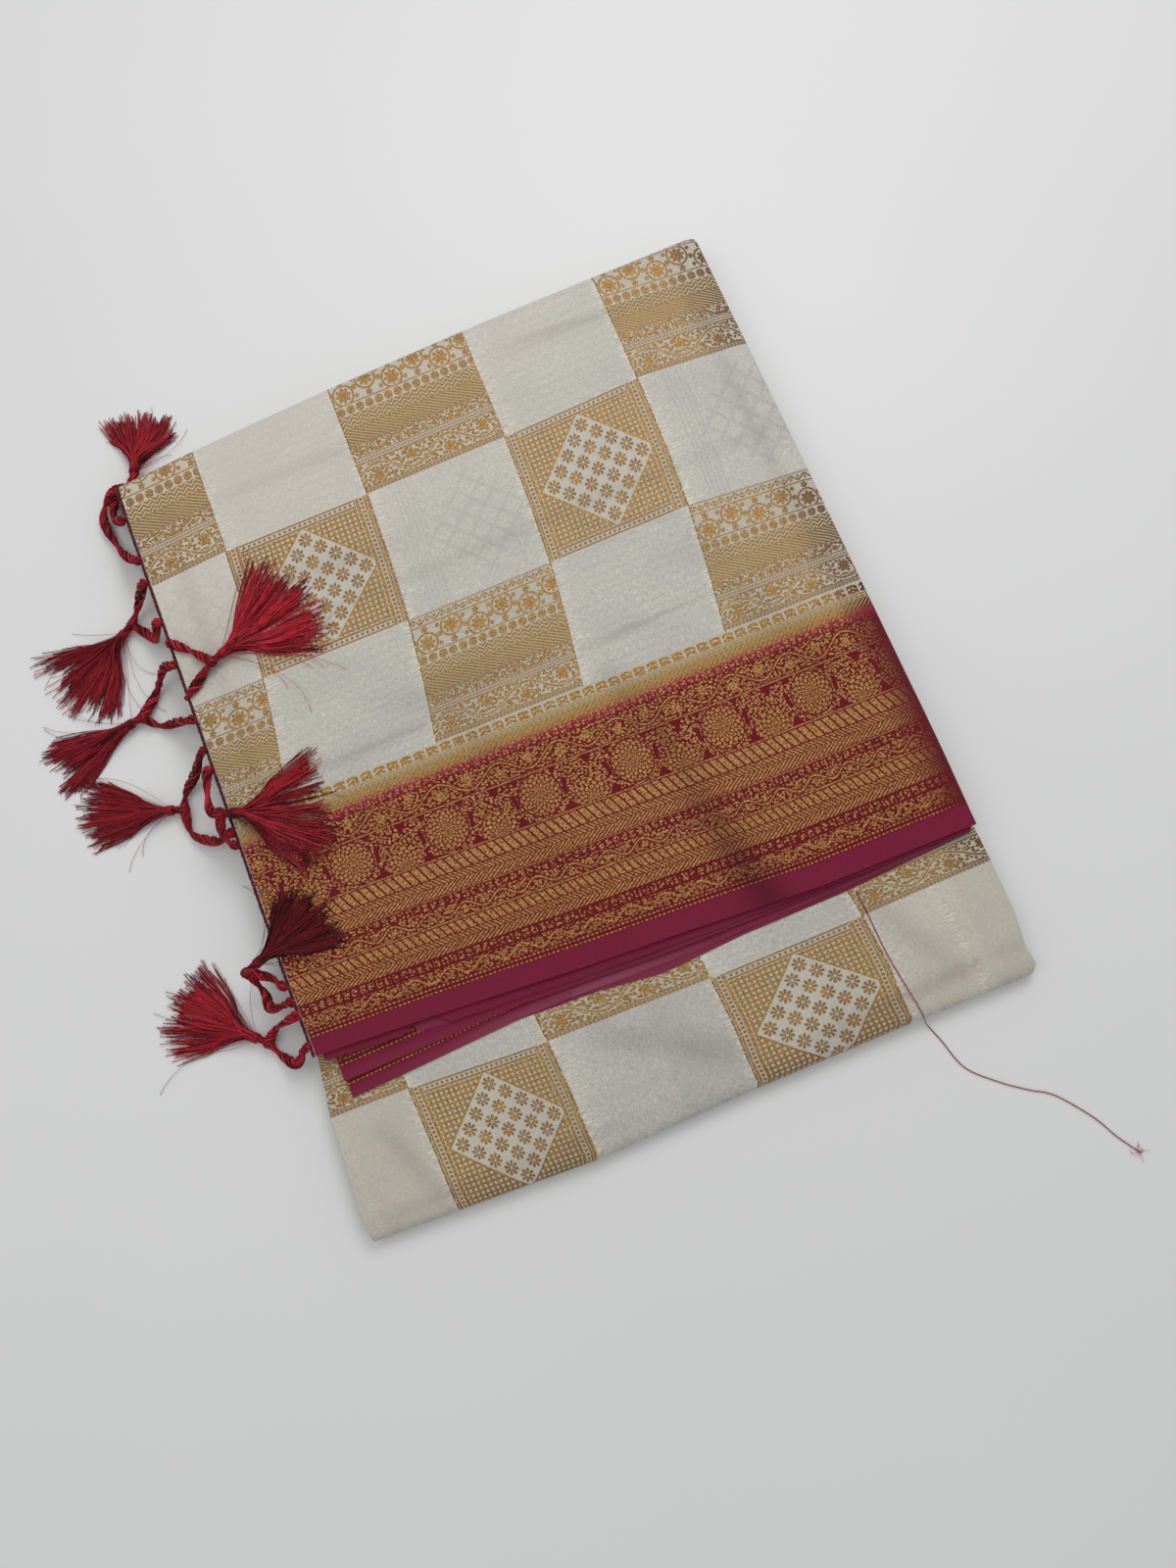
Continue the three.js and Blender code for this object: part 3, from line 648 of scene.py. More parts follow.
def diamond_cell(x, y):
    """A frame of beads, a netted gold ground, and a cream diamond of small flowers."""
    from_side = CELL / 2 - (x - CELL / 2).abs()
    from_end = CELL_HEIGHT / 2 - (y - CELL_HEIGHT / 2).abs()
    across, up = diamond_place(x, y, DIAMOND_X)
    reach = across.abs() + up.abs()
    net_x = (x - CELL / 2).centred(NET_PITCH[0]).abs()
    net_y = (y - CELL_HEIGHT / 2).centred(NET_PITCH[1]).abs()
    net = (1 - net_x.most(net_y).inside(0.97, 0.5)) * 0.95
    one = ((across + up) * 0.5 * STARS_ACROSS + 0.5).fract() - 0.5
    two = ((across - up) * 0.5 * STARS_ACROSS + 0.5).fract() - 0.5
    local_x = (one + two) * (DIAMOND_HALF_WIDTH / STARS_ACROSS)
    local_y = (one - two) * (DIAMOND_HALF_HEIGHT / STARS_ACROSS)
    uneven = mottle(x, y, 0.11, 0.11).ramp(3.4, -1.25)
    heads = use("Star", local_x, local_y, STAR_SIZE) * (uneven * 0.42 + STAR_DARK)
    edge = (reach - 1.03).abs().inside(0.013, 0.014)
    inner = reach.inside(1.015, 0.01)
    ground = (inner * heads).most(edge) + (1 - inner) * net
    sides = most_of([
        from_side.between(0.1, 1.0),
        from_side.between(1.6, 2.7),
        from_side.between(6.1, 7.9),
        y.centred(2.6).abs().inside(0.75) * from_side.between(3.5, 5.3) * 0.7,
    ])
    ends = most_of([
        from_end.between(0.2, 1.0) * 0.8,
        from_end.between(3.9, 4.9) * 0.8,
        x.centred(3.2).abs().inside(0.75) * from_end.between(1.7, 3.2) * 0.66,
    ])
    in_sides = from_side.inside(8.4, 0.3)
    in_ends = from_end.inside(5.4, 0.3)
    return in_sides * sides + (1 - in_sides) * (in_ends * ends + (1 - in_ends) * ground)


def ghost_cell(x, y, odd_row):
    """Faint lines of a cream cell: stripes and a netted diamond, or rows along the cloth."""
    across, up = diamond_place(x, y, GHOST_X)
    one = ((across + up) * 2.5).fract() - 0.5
    two = ((across - up) * 2.5).fract() - 0.5
    diamond = (across.abs() + up.abs()).inside(1.0, 0.03)
    net = one.abs().most(two.abs()).ramp(6.0, -1.9) * diamond
    stripes = x.centred(2.9).abs().inside(0.6, 0.8) * x.between(14.0, 29.0)
    rows = y.centred(5.2).abs().inside(0.9, 1.2) * x.between(14.0, 88.0)
    return odd_row * net.most(stripes * 0.8) + (1 - odd_row) * rows * 0.45


# Finishes

def principled(tree):
    return next(node for node in tree.nodes if node.type == "BSDF_PRINCIPLED")


def new_material(name):
    material = bpy.data.materials.new(name)
    material.use_nodes = True
    return material, material.node_tree


def bump(tree, height, strength, distance):
    node = add_node(tree, "ShaderNodeBump")
    node.inputs["Strength"].default_value = strength
    node.inputs["Distance"].default_value = distance
    put(tree, height, node.inputs["Height"])
    return node.outputs["Normal"]


def layered(tree, base, layers):
    """A colour under layers of others, each with the share that it covers."""
    for share, tint in layers:
        base = mix(tree, share, base, tint)
    return base


# Tints laid over the cream tissue, among them painted light and painted shade
TINTS = {
    "faint lines": (0.38, 0.37, 0.335),
    "second layer": (0.34, 0.33, 0.3),
    "speckle": (0.33, 0.325, 0.3),
    "cloud": (0.34, 0.34, 0.325),
    "patch": (0.3, 0.3, 0.285),
    "painted sheen towards the fold": (0.74, 0.665, 0.585),
    "painted light on outer cells": (0.67, 0.575, 0.45),
    "fringe": (0.79, 0.73, 0.62),
    "fringe shadow": (0.31, 0.285, 0.25),
    "diamond": (0.55, 0.5, 0.4),
    "gold cell": (0.43, 0.305, 0.105),
    "shade": (0.07, 0.045, 0.035),
}
ZARI_IN_PAINTED_SHADE = (0.09, 0.035, 0.014)
RIM_IN_PAINTED_SHADE = (0.06, 0.025, 0.012)
CUT_LINE_X = 156.0
CUT_LINE_Y = -181.0
RIGHT_TURN_X = 176.0
LEFT_TURN_X = -186.0
ROLL_TURN_Y = -236.0


def fringe_mask(x, place_x, place_y, low_row):
    """Loose comb-like ends along the sides of a cream cell, and where the cloth below ends."""
    ragged = mottle(place_x, place_y, 0.04, 0.75, 4.0, 0.85)
    sides = x.inside(ragged * 44.0 - 15.5, 2.0).most((CELL - x).inside(ragged * 30.0 - 12.0, 1.5))
    cut_line = (place_x + (place_y - CUT_LINE_Y) * LOWER_LEAN - CUT_LINE_X).abs()
    return sides.most(cut_line.inside(ragged * 18.0 - 6.5, 1.5) * low_row)


def check_material(cloth):
    """Cream tissue and gold brocade in a check of cells."""
    material, tree = new_material("Checked tissue")
    shader = principled(tree)
    column, row = weave_place(tree)
    place_x, place_y, _ = split(tree, object_point(tree))
    x = column.fract() * CELL
    y = row.fract() * CELL_HEIGHT
    odd_row = (row.floor() * 0.5).fract() * 2.0
    gold_cell = ((column.floor() + row.floor()) * 0.5).fract() * 2.0
    pattern = (1 - odd_row) * band_cell(x, y) + odd_row * diamond_cell(x, y)
    tone, height, cloud = (use("Grain", place_x, place_y, out=out) for out in ("Tone", "Height", "Cloud"))

    fleck = tone.ramp(2.6, -0.8)
    low_row = row.between(-1.0, 0.0, 0.001)
    speckle = mottle(place_x, place_y, 0.6, 0.75, 2.0, 0.7).ramp(3.0, -1.15)
    patch = mottle(place_x, place_y, 0.22, 0.3, 3.0, 0.7).ramp(2.4, -1.1)
    # Painted sheen: the tissue paler and warmer towards the fold at the upper left
    painted_sheen = (place_y - place_x * 0.7).ramp(0.0033, -0.25)
    # Painted light: the outer cells of the lower stretch lighter and warmer
    outer_painted_light = place_x.abs().ramp(0.016, -1.4)
    fringe = fringe_mask(x, place_x, place_y, low_row) * (1 - gold_cell)
    thread = mottle(place_x, place_y, 0.16, 1.05, 2.0, 0.7).ramp(6.0, -2.6)
    across, up = diamond_place(x, y, DIAMOND_X)
    in_diamond = (across.abs() + up.abs()).inside(1.0, 0.03) * odd_row
    close_rows = (1 - odd_row) * y.between(29.0, 47.5, 1.0)
    tissue = layered(tree, mix(tree, fleck, scaled(cloth.cream, 0.62), scaled(cloth.cream, 1.28)), [
        (ghost_cell(x, y, odd_row) * (1 - low_row * 0.6) * 0.42, TINTS["faint lines"]),
        ((1 - x.inside(52.0, 2.0)) * low_row * 0.22, TINTS["second layer"]),
        (speckle * 0.3, TINTS["speckle"]),
        ((cloud - 0.4) * 0.8, TINTS["cloud"]),
        (patch * 0.3, TINTS["patch"]),
        (painted_sheen * 0.6, TINTS["painted sheen towards the fold"]),
        (outer_painted_light * low_row * 0.36, TINTS["painted light on outer cells"]),
        (fringe * thread * 0.7, TINTS["fringe"]),
        (fringe * (1 - thread) * 0.22, TINTS["fringe shadow"]),
        (gold_cell * in_diamond * 0.5, TINTS["diamond"]),
        (gold_cell * (1 - in_diamond) * (0.24 + close_rows * 0.3), TINTS["gold cell"]),
    ])

    shine = mottle(place_x, place_y, 1.1, 0.8).ramp(4.2, -1.6)
    # Painted shade: zari and its motifs' rims darker towards the side folds and the front of the roll,
    # where the thread turns from the light
    ends = 1 - place_x.inside(RIGHT_TURN_X, 22.0)
    ends = ends.most((1 - (place_x * -1.0).inside(-LEFT_TURN_X, 14.0)) * 0.35)
    turned = place_y.inside(ROLL_TURN_Y, 14.0)
    zari = mix(tree, shine, scaled(cloth.gold, 0.5), scaled(cloth.gold, 1.36))
    zari = mix(tree, ends.most(turned * 0.5) * 0.75, zari, ZARI_IN_PAINTED_SHADE)
    line = x.inside(0.9, 0.5)
    sparkle = mottle(place_x, place_y, 0.8, 0.8).between(0.56, 1.5, 0.08)
    woven_in = pattern * gold_cell
    painted = layered(tree, tissue, [
        (woven_in.ramp(1.6, 0.0), mix(tree, ends * 0.6, tuple(cloth.brown), RIM_IN_PAINTED_SHADE)),
        (woven_in.ramp(2.4, -1.4), zari),
        (line * 0.9, mix(tree, sparkle, (0.17, 0.09, 0.025), (0.66, 0.45, 0.14))),
        (attribute(tree, SHADE), TINTS["shade"]),
    ])
    put(tree, painted, shader.inputs["Base Color"])
    metal = woven_in.most(line)
    put(tree, metal * 0.22 + 0.08, shader.inputs["Metallic"])
    put(tree, 0.54 - metal * 0.06 + fleck * 0.12, shader.inputs["Roughness"])
    shader.inputs["Sheen Weight"].default_value = 0.08
    shader.inputs["Specular IOR Level"].default_value = 0.35
    put(tree, bump(tree, height, 0.55, 0.25 * MM), shader.inputs["Normal"])
    return material


def border_pattern(x, v):
    """Gold rows of the border; v runs from the check down to the selvedge."""
    petal = use("Dashes", x, v, 1.9)
    leaf = use("Dashes", x, v, 1.95)
    aside = x.centred(8.0).abs()
    block = aside.inside(3.4, 0.5) * v.between(1.0, 6.2)
    dots = x.centred(2.6).abs().inside(0.85)
    masks = common_rows(x, v, BORDER_ROWS) + [
        block * petal.most((v - aside * 0.4).centred(2.6).abs().inside(0.7, 0.3)),
        leafy_vine(x, v - 28.0, (36.0, 4.6), leaf) * v.between(21.2, 34.6),
        medallions(x, v - 49.2, leaf) * v.between(36.2, 62.2),
        leafy_vine(x, v - 93.0, (21.0, 2.6), leaf) * v.between(88.8, 97.2),
        leafy_vine(x, v - 124.4, (21.0, 2.5), leaf * 0.8, apart=False) * v.between(120.4, 128.6),
        dots * v.between(129.2, 130.2).most(v.between(131.6, 132.6)),
    ]
    for low, high, pitch, half in LEAF_ROWS:
        masks.append(petal * v.between(low, high) * x.centred(pitch).abs().inside(half, 0.5))
    return most_of(masks)


def rays(x, y, count, ring):
    """Short dashes laid in rays round a centre, staggered from ring to ring."""
    away, turn = polar(x, y)
    step = away / ring
    aside = (turn * count + step.floor() * math.pi).cos()
    ahead = (step.fract() - 0.5).abs()
    return (ahead * 1.6 - aside * 0.8).inside(0.72, 0.35)


def medallions(x, v, leaf):
    """Round flower heads and half heads by turns in a ground of leaves, with narrow plain gaps."""
    pitch = 56.0
    near = x.centred(pitch)
    fan_x = x.centred(pitch, 0.5)
    fan_y = 12.6 - v
    top = v + 12.5
    from_head = hypot(near, v + 0.5)
    head = from_head.inside(11.8, 0.6)
    half_head = hypot(fan_x * 1.05, fan_y * 0.85).inside(11.2, 0.6)
    burst = rays(near, v + 0.5, 17.0, 2.1)
    fan = rays(fan_x, fan_y, 15.0, 2.1)
    drawn = burst * head + (1 - head) * (fan * half_head + leaf * (1 - half_head))
    gaps = [
        (near.abs() - 14.6 + v * 0.12).abs().inside(1.25, 0.4) * (v + 1.0).abs().inside(4.2, 0.8),
        ((fan_x - 3.8).abs() + top * 0.6).inside(3.4, 0.6) * v.inside(-6.5, 0.6),
        ((near.abs() - 11.5).abs() + top * 0.8).inside(2.6, 0.6),
        ((fan_x.abs() - 13.4).abs() + (12.5 - v) * 0.7).inside(3.6, 0.6),
        (from_head - 12.2).abs().inside(0.35, 0.4),
    ]
    return drawn * (1 - most_of(gaps))


DEEP_GOLD = (0.55, 0.285, 0.1)
DEEP_BROWN = (0.15, 0.05, 0.014)
TAN = (0.36, 0.25, 0.09)
ROSE = (0.36, 0.02, 0.06)
ROW_MAROON = (0.145, 0.0065, 0.012)
GOLD_IN_PAINTED_SHADE = (0.11, 0.012, 0.02)
GOLD_SHADE_X = 181.0
BORDER_SHADE = (0.05, 0.003, 0.008)
SILK_PAINTED_SHEEN = (0.3, 0.09, 0.14)

# Silks besides the tassels' own: name, lit colour, dark colour and roughness
SMALL_SILKS = [
    ("Hem silk", (0.13, 0.02, 0.02), (0.05, 0.008, 0.008), 0.5),
    ("Border edges", (0.17, 0.035, 0.035), (0.10, 0.01, 0.02), 0.55),
    ("Loose silk", (0.42, 0.05, 0.075), (0.3, 0.03, 0.05), 0.45),
]


def border_material(cloth):
    """Maroon ground with gold rows, gold fading from cream at the top, plain at the selvedge."""
    material, tree = new_material("Brocade border")
    shader = principled(tree)
    x, v = weave_place(tree)
    place_x, place_y, _ = split(tree, object_point(tree))
    pattern = border_pattern(x, v)
    fleck = use("Grain", place_x, place_y, out="Tone").ramp(2.2, -0.6)
    height = use("Grain", place_x, place_y, out="Height")
    fray = mottle(place_x, place_y, 0.7, 0.12) * 5.0
    to_maroon = (v + fray).ramp(0.2, -3.0)
    tissue = mix(tree, fleck, scaled(cloth.cream, 0.75), scaled(cloth.cream, 1.2))
    tan = mix(tree, v.ramp(0.25, -1.2) * 0.5 + 0.3, tissue, TAN)
    silk = mix(tree, fleck, scaled(cloth.maroon, 0.8), scaled(cloth.maroon, 1.15))
    silk = mix(tree, v.inside(BORDER_WIDTH - PLAIN_WIDTH, 0.6), silk, ROW_MAROON)
    shine = mottle(place_x, place_y, 0.8, 0.7, 2.0, 0.6).ramp(4.0, -1.42)
    on_cream = mix(tree, shine, tuple(cloth.brown), tuple(cloth.gold))
    zari = mix(tree, to_maroon, on_cream, mix(tree, shine, DEEP_BROWN, DEEP_GOLD))
    # Painted shade: the border's gold turns dark towards the right fold, where the thread turns from the
    # light
    zari = mix(tree, (1 - place_x.inside(GOLD_SHADE_X, 20.0)) * 0.94, zari, GOLD_IN_PAINTED_SHADE)
    dim = attribute(tree, SHADE)
    painted = layered(tree, mix(tree, to_maroon, tan, silk), [
        (v.between(14.0, 20.0, 3.0) * 0.55, ROSE),
        (pattern.ramp(1.5, -0.4), zari),
        # Painted shade where the shade values are above zero, painted sheen where they are below
        (dim.ramp(1.0, 0.0), BORDER_SHADE),
        (dim.ramp(-1.0, 0.0), SILK_PAINTED_SHEEN),
    ])
    put(tree, painted, shader.inputs["Base Color"])
    put(tree, pattern * 0.2, shader.inputs["Metallic"])
    put(tree, 0.6 - pattern * 0.12, shader.inputs["Roughness"])
    shader.inputs["Specular IOR Level"].default_value = 0.1
    shader.inputs["Sheen Weight"].default_value = 0.04
    shader.inputs["Sheen Tint"].default_value = (0.8, 0.3, 0.4, 1)
    put(tree, bump(tree, height + pattern * 0.5, 0.5, 0.25 * MM), shader.inputs["Normal"])
    return material


def silk_material(name, light, dark, rough):
    """Floss silk, paler and darker from strand to strand by its own tone and by painted light, with
    painted sheen on the fibres of lit strands.
    """
    material, tree = new_material(name)
    shader = principled(tree)
    tone = attribute(tree, TONE_AND_PAINTED_LIGHT)
    fibre = noise(tree, object_point(tree), 1.6)
    colour = mix(tree, tone, dark, light)
    # Painted sheen: paler fibres on the lit strands
    colour = mix(tree, fibre * tone * 0.45, colour, scaled(light, 1.35))
    put(tree, colour, shader.inputs["Base Color"])
    put(tree, fibre * 0.2 + rough, shader.inputs["Roughness"])
    shader.inputs["Specular IOR Level"].default_value = 0.2
    shader.inputs["Sheen Weight"].default_value = 0.03
    shader.inputs["Sheen Tint"].default_value = (0.9, 0.35, 0.35, 1)
    put(tree, bump(tree, fibre, 0.3, 0.1 * MM), shader.inputs["Normal"])
    return material


# Cloth meshes

def crease_relief(table, x, y):
    """Height of the pressed creases at places on the cloth, below zero in a trough."""
    relief = np.zeros_like(x)
    for (x0, y0), (x1, y1), depth, half in table:
        run = np.array([x1 - x0, y1 - y0], float)
        length = np.hypot(*run)
        part = ((x - x0) * run[0] + (y - y0) * run[1]) / length**2
        held = np.clip(part, 0, 1)
        bend = half * 0.35 * np.sin(part * 5 + x0)
        off = np.hypot(x - x0 - held * run[0] + bend, y - y0 - held * run[1])
        fade = np.sin(np.pi * np.clip(part * 0.9 + 0.05, 0, 1)) ** 0.5
        relief -= depth * np.exp(-(off / half) ** 2) * fade
    return relief


def swell(x, y):
    """Height of the slack cloth between its creases."""
    long = np.sin(x / 47 + 0.6) * np.sin(y / 39 + 1.1)
    short = np.sin(x / 23 - y / 31)
    return 0.2 + 0.17 * long + 0.08 * short


def add_values(mesh, name, values):
    """A number for each point of a mesh, kept under a name."""
    layer = mesh.attributes.new(name, "FLOAT", "POINT")
    layer.data.foreach_set("value", np.asarray(values, np.float32).ravel())


def smooth_faces(mesh):
    mesh.polygons.foreach_set("use_smooth", np.ones(len(mesh.polygons), dtype=bool))


def cloth_object(name, points, uv, shade, material, thickness):
    """A sheet from a grid of points, thickened on its inner side."""
    rows, columns = points.shape[:2]
    index = np.arange(rows * columns).reshape(rows, columns)
    quads = np.stack([index[:-1, :-1], index[1:, :-1], index[1:, 1:], index[:-1, 1:]], axis=-1)
    quads = quads.reshape(-1, 4)
    mesh = bpy.data.meshes.new(name)
    mesh.from_pydata((points.reshape(-1, 3) * MM).tolist(), [], quads.tolist())
    layer = mesh.uv_layers.new(name=WEAVE)
    layer.data.foreach_set("uv", uv.reshape(-1, 2)[quads.ravel()].astype(np.float32).ravel())
    add_values(mesh, SHADE, shade)
    smooth_faces(mesh)
    ends = np.zeros(len(mesh.edges) * 2, np.int32)
    mesh.edges.foreach_get("vertices", ends)
    row_of, column_of = np.divmod(ends.reshape(-1, 2), columns)
    rim = np.zeros(len(mesh.edges), dtype=bool)
    for place, last in ((row_of, rows - 1), (column_of, columns - 1)):
        rim |= (place == 0).all(axis=1) | (place == last).all(axis=1)
    sharp = mesh.attributes.new("sharp_edge", "BOOLEAN", "EDGE")
    sharp.data.foreach_set("value", rim)
    mesh.materials.append(material)
    obj = link(bpy.data.objects.new(name, mesh))
    wall = obj.modifiers.new("Cloth", "SOLIDIFY")
    wall.thickness = thickness
    wall.offset = -1
    return obj


def across_profile(width, left_folded, right_folded, step):
    """Places across a sheet: part of its width, distance past the fold, and depth below."""
    turn = [(EDGE_TURN * (1 - math.sin(a)), EDGE_TURN * (1 - math.cos(a)))
            for a in np.linspace(0, math.pi, 7)[1:]]
    back = [(EDGE_TURN + inward, 2 * EDGE_TURN) for inward in (2, 5, 8, EDGE_RETURN)]
    edge = [(EDGE_TURN, 0.0)] + turn + back
    travels = np.cumsum([0] + [math.dist(a, b) for a, b in zip(edge, edge[1:])])
    count = int(width / step)
    first = EDGE_TURN if left_folded else 0.0
    last = width - EDGE_TURN if right_folded else width
    flat = [(place, 0.0, place) for place in np.linspace(first, last, count)]
    turned = list(zip(edge, travels))[1:]
    if left_folded:
        flat = [(inward, depth, first - travel) for (inward, depth), travel in turned[::-1]] + flat
    if right_folded:
        flat += [(width - inward, depth, last + travel) for (inward, depth), travel in turned]
    return np.array(flat)


def wrapped_path(x, start, edge, depth, top, sign, step):
    """Way of a sheet from its flat top round a fold and along the underside.

    Returns y, z, the normal's y and z, the way travelled and how flat it lies, a row for each x."""
    end = edge - sign * depth
    half = top / 2
    flat_count = max(2, int(abs(np.mean(end) - start) / step))
    part = np.linspace(0, 1, flat_count, endpoint=False)
    turn = np.linspace(0, np.pi, TURN_STEPS)
    back = np.linspace(0, 1, BACK_STEPS + 1)[1:]
    y = np.concatenate([
        start + (end[:, None] - start) * part,
        end[:, None] + sign * depth * np.sin(turn) + 0 * x[:, None],
        end[:, None] + (UNDER_SEAM_Y - end[:, None]) * back,
    ], axis=1)
    z = np.concatenate([np.full(flat_count, top), half + half * np.cos(turn), 0 * back])
    ny = np.concatenate([0 * part, sign * np.sin(turn) / depth, 0 * back])
    nz = np.concatenate([0 * part + 1, np.cos(turn) / half, 0 * back - 1])
    size = np.hypot(ny, nz)
    z = np.broadcast_to(z, y.shape)
    moved = np.hypot(np.diff(y, axis=1), np.diff(z, axis=1))
    travel = np.concatenate([np.zeros((len(x), 1)), np.cumsum(moved, axis=1)], axis=1)
    flat = np.concatenate([0 * part + 1, smooth(np.cos(turn), 0, 1), 0 * back])
    return y, z, ny / size, nz / size, travel, flat


def edge_droop(from_edge):
    """How far a turned side edge sinks."""
    return EDGE_DROOP * (1 - smooth(from_edge, 0, EDGE_DROOP_WIDTH))


def body_sheet(name, upper, cloth):
    """The checked cloth: over the top or the lower step, round its fold and along the underside."""
    step = cloth.grid / MM
    profile = across_profile(WIDTH, not upper, True, step)
    plan = profile[:, 0] - HALF_WIDTH
    if upper:
        edge, depth, top, sign, start = along(FOLD_EDGE, plan), FOLD_DEPTH, UPPER_TOP, 1, BORDER_LINE_Y
        left, right, creases = UPPER_LEFT, UPPER_RIGHT, UPPER_CREASES
    else:
        edge, depth, top, sign, start = along(ROLL_EDGE, plan), ROLL_DEPTH, LOWER_TOP, -1, FLAP_BACK_Y
        left, right, creases = LOWER_LEFT, LOWER_RIGHT, LOWER_CREASES
    y, z, ny, nz, travel, flat = wrapped_path(plan, start, edge, depth, top, sign, step)
    low, high = along(left, y), along(right, y)
    x = low + (high - low) * (profile[:, 0] / WIDTH)[:, None]
    creased = crease_relief(creases, x, y)
    droop = edge_droop(high - x) + (0 if upper else edge_droop(x - low))
    lift = (creased + swell(x, y)) * flat - profile[:, 1][:, None] - droop * flat
    points = np.stack([x, y + ny * lift, z + nz * lift], axis=-1)
    run = profile[:, 2][:, None] + low
    if upper:
        reach = start + travel
        column = (run - CELL_START - along(COLUMN_DRIFT, reach)) / CELL
        row = check_row(x, reach)
    else:
        reach = start - travel
        line = along(LOWER_LINE, x)
        column = along(LOWER_COLUMNS, run - (line - reach) * LOWER_LEAN)
        row = (reach - line) / LOWER_ROW
    shade = np.clip(-creased * (0.4 if upper else 0.3), 0, 0.35) * flat
    uv = np.stack([column, row], axis=-1)
    if not upper:
        # Painted shade on the front of the roll as it turns down, in stripes as of fine pleats, and a
        # faint band where it starts to turn
        pleat_shade = 0.5 + 0.3 * np.sin(x / 1.9 + 2 * np.sin(x / 7)) + 0.2 * np.sin(x / 5.3)
        shade = shade + 0.3 * pleat_shade * (1 - flat) * (travel < np.median(travel[:, -BACK_STEPS]))
        shade = shade + 0.04 * np.exp(-(((y - low_line(x)) / 6) ** 2)) * flat
        points, uv, shade = points[:, ::-1], uv[:, ::-1], shade[:, ::-1]
    obj = cloth_object(name, points, uv, shade, bpy.data.materials["Checked tissue"], cloth.thickness)
    return obj, (float(np.ptp(profile[:, 2])), float(np.mean(travel[:, -1])))


def low_line(x):
    """Where the front of the lower step starts to turn down."""
    return along(ROLL_EDGE, x) + ROLL_DEPTH


def check_row(x, y):
    """Row of the check at a place on the upper stretch, counted from the border line."""
    first = along(ROW_1, x)
    second = along(ROW_2, x)
    low = (y - BORDER_LINE_Y) / (first - BORDER_LINE_Y)
    middle = 1 + (y - first) / (second - first)
    high = 2 + (y - second) / ROW_3_GAP
    return np.where(y < first, low, np.where(y < second, middle, high))


def border_top(x, y):
    front = along(SELVEDGE, x)
    return SELVEDGE_TOP + (UPPER_TOP - SELVEDGE_TOP) * smooth((y - front) / (BORDER_DIP_Y - front), 0, 1)


def border_v(from_edge, width, plain):
    """Place across the border's rows, from the distance to its selvedge."""
    woven = BORDER_WIDTH - PLAIN_WIDTH
    in_plain = BORDER_WIDTH - from_edge / plain * PLAIN_WIDTH
    in_rows = woven - (from_edge - plain) / (width - plain) * woven
    return np.where(from_edge < plain, in_plain, in_rows)


def border_sheet(cloth):
    """Border of the top layer, from the check down over the inner selvedges to its own."""
    step = cloth.grid / MM
    profile = across_profile(WIDTH, False, True, step)
    plan = (profile[:, 0] - HALF_WIDTH)[:, None]
    front = along(SELVEDGE, plan)
    part = np.linspace(0, 1, int(BORDER_LENGTH / step))[None, :]
    y = front + (BORDER_LINE_Y - front) * part
    low, high = along(UPPER_LEFT, y), along(UPPER_RIGHT, y)
    x = low + (high - low) * profile[:, 0][:, None] / WIDTH
    creased = crease_relief(UPPER_CREASES, x, y)
    ripple = 0.25 * np.sin(x / 13 + 1) * (1 - smooth(y - front, 0, 14))
    z = border_top(x, y) + (creased + swell(x, y)) * smooth(y - front, -6, 12) + ripple
    z = z - profile[:, 1][:, None] - edge_droop(high - x)
    points = np.stack([x, y, z], axis=-1)
    v = border_v(y - front, BORDER_LINE_Y - front, along(PLAIN_SHOWN, x))
    run = profile[:, 2][:, None] + low
    uv = np.stack([run + 0 * v, v], axis=-1)
    valley = np.exp(-(((x - 30 - (30 - y) * 0.2) / 12) ** 2)) * smooth(-y, 60, 150) * 0.5
    shade = np.clip(-creased * 0.22, 0, 0.25) + valley
    obj = cloth_object("border_cloth", points, uv, shade, bpy.data.materials["Brocade border"],
                       cloth.thickness)
    return obj, (float(np.ptp(profile[:, 2])), float(np.mean(BORDER_LINE_Y - front)))


def leaf_sheet(name, row, cloth):
    """An inner selvedge: its plain edge, what shows of its gold rows, and its folded left end."""
    right = row["edge"][-1][0]
    width = right - row["left"]
    profile = across_profile(width, True, False, 3.0)
    profile[:, 1] *= 0.5
    x = (row["left"] + profile[:, 0])[:, None]
    edge = along(row["edge"], x)
    part = np.concatenate([np.linspace(0, 0.7, 8), np.linspace(0.75, 1, 11)])[::-1][None, :]
    y = FLAP_BACK_Y + (edge - FLAP_BACK_Y) * part
    from_edge = y - edge
    wave = 0.18 * np.sin(x / 17 + row["top"]) + 0.12 * np.sin(x / 7.3 + row["top"] * 3)
    sink = (row["sink"] + wave) * (1 - smooth(from_edge, 0, 13))
    z = row["top"] - sink - profile[:, 1][:, None]
    points = np.stack([x + 0 * y, y, z], axis=-1)
    plain_scale = border_v(from_edge + 0 * x, BORDER_WIDTH, row["plain"])
    uv = np.stack([x + 40 * row["top"] + 0 * y, plain_scale], axis=-1)
    # Painted sheen lightens the silk near its free edge; painted shade darkens it further in, under the
    # layer above
    painted_sheen = row["pale"] * (1 - smooth(from_edge, 2, 7)) * (0.6 + 0.4 * np.sin(x / 31 + row["top"] * 2))
    shade = 0.45 * smooth(from_edge, 5, 12) - painted_sheen + 0 * y
    material = bpy.data.materials["Brocade border"]
    obj = cloth_object(name, points, uv, shade, material, cloth.thickness * 0.8)
    return obj, (width + 2 * EDGE_RETURN, float(np.mean(FLAP_BACK_Y - edge)))


# Hidden layers

LEVEL_PITCH = 1.4
LEVELS = 14
LOWER_LEVELS = 7
STRIP_DEPTH = 20.0
STRIP_HALF = 0.52
LAYER_SHADE = 0.12
LAYER_ROW = 80.0


def level_z(level):
    return LEVEL_PITCH * (level + 1)


# Height of the step between the lower stretch's layers and those above
STEP_Z = level_z(LOWER_LEVELS) - 0.5


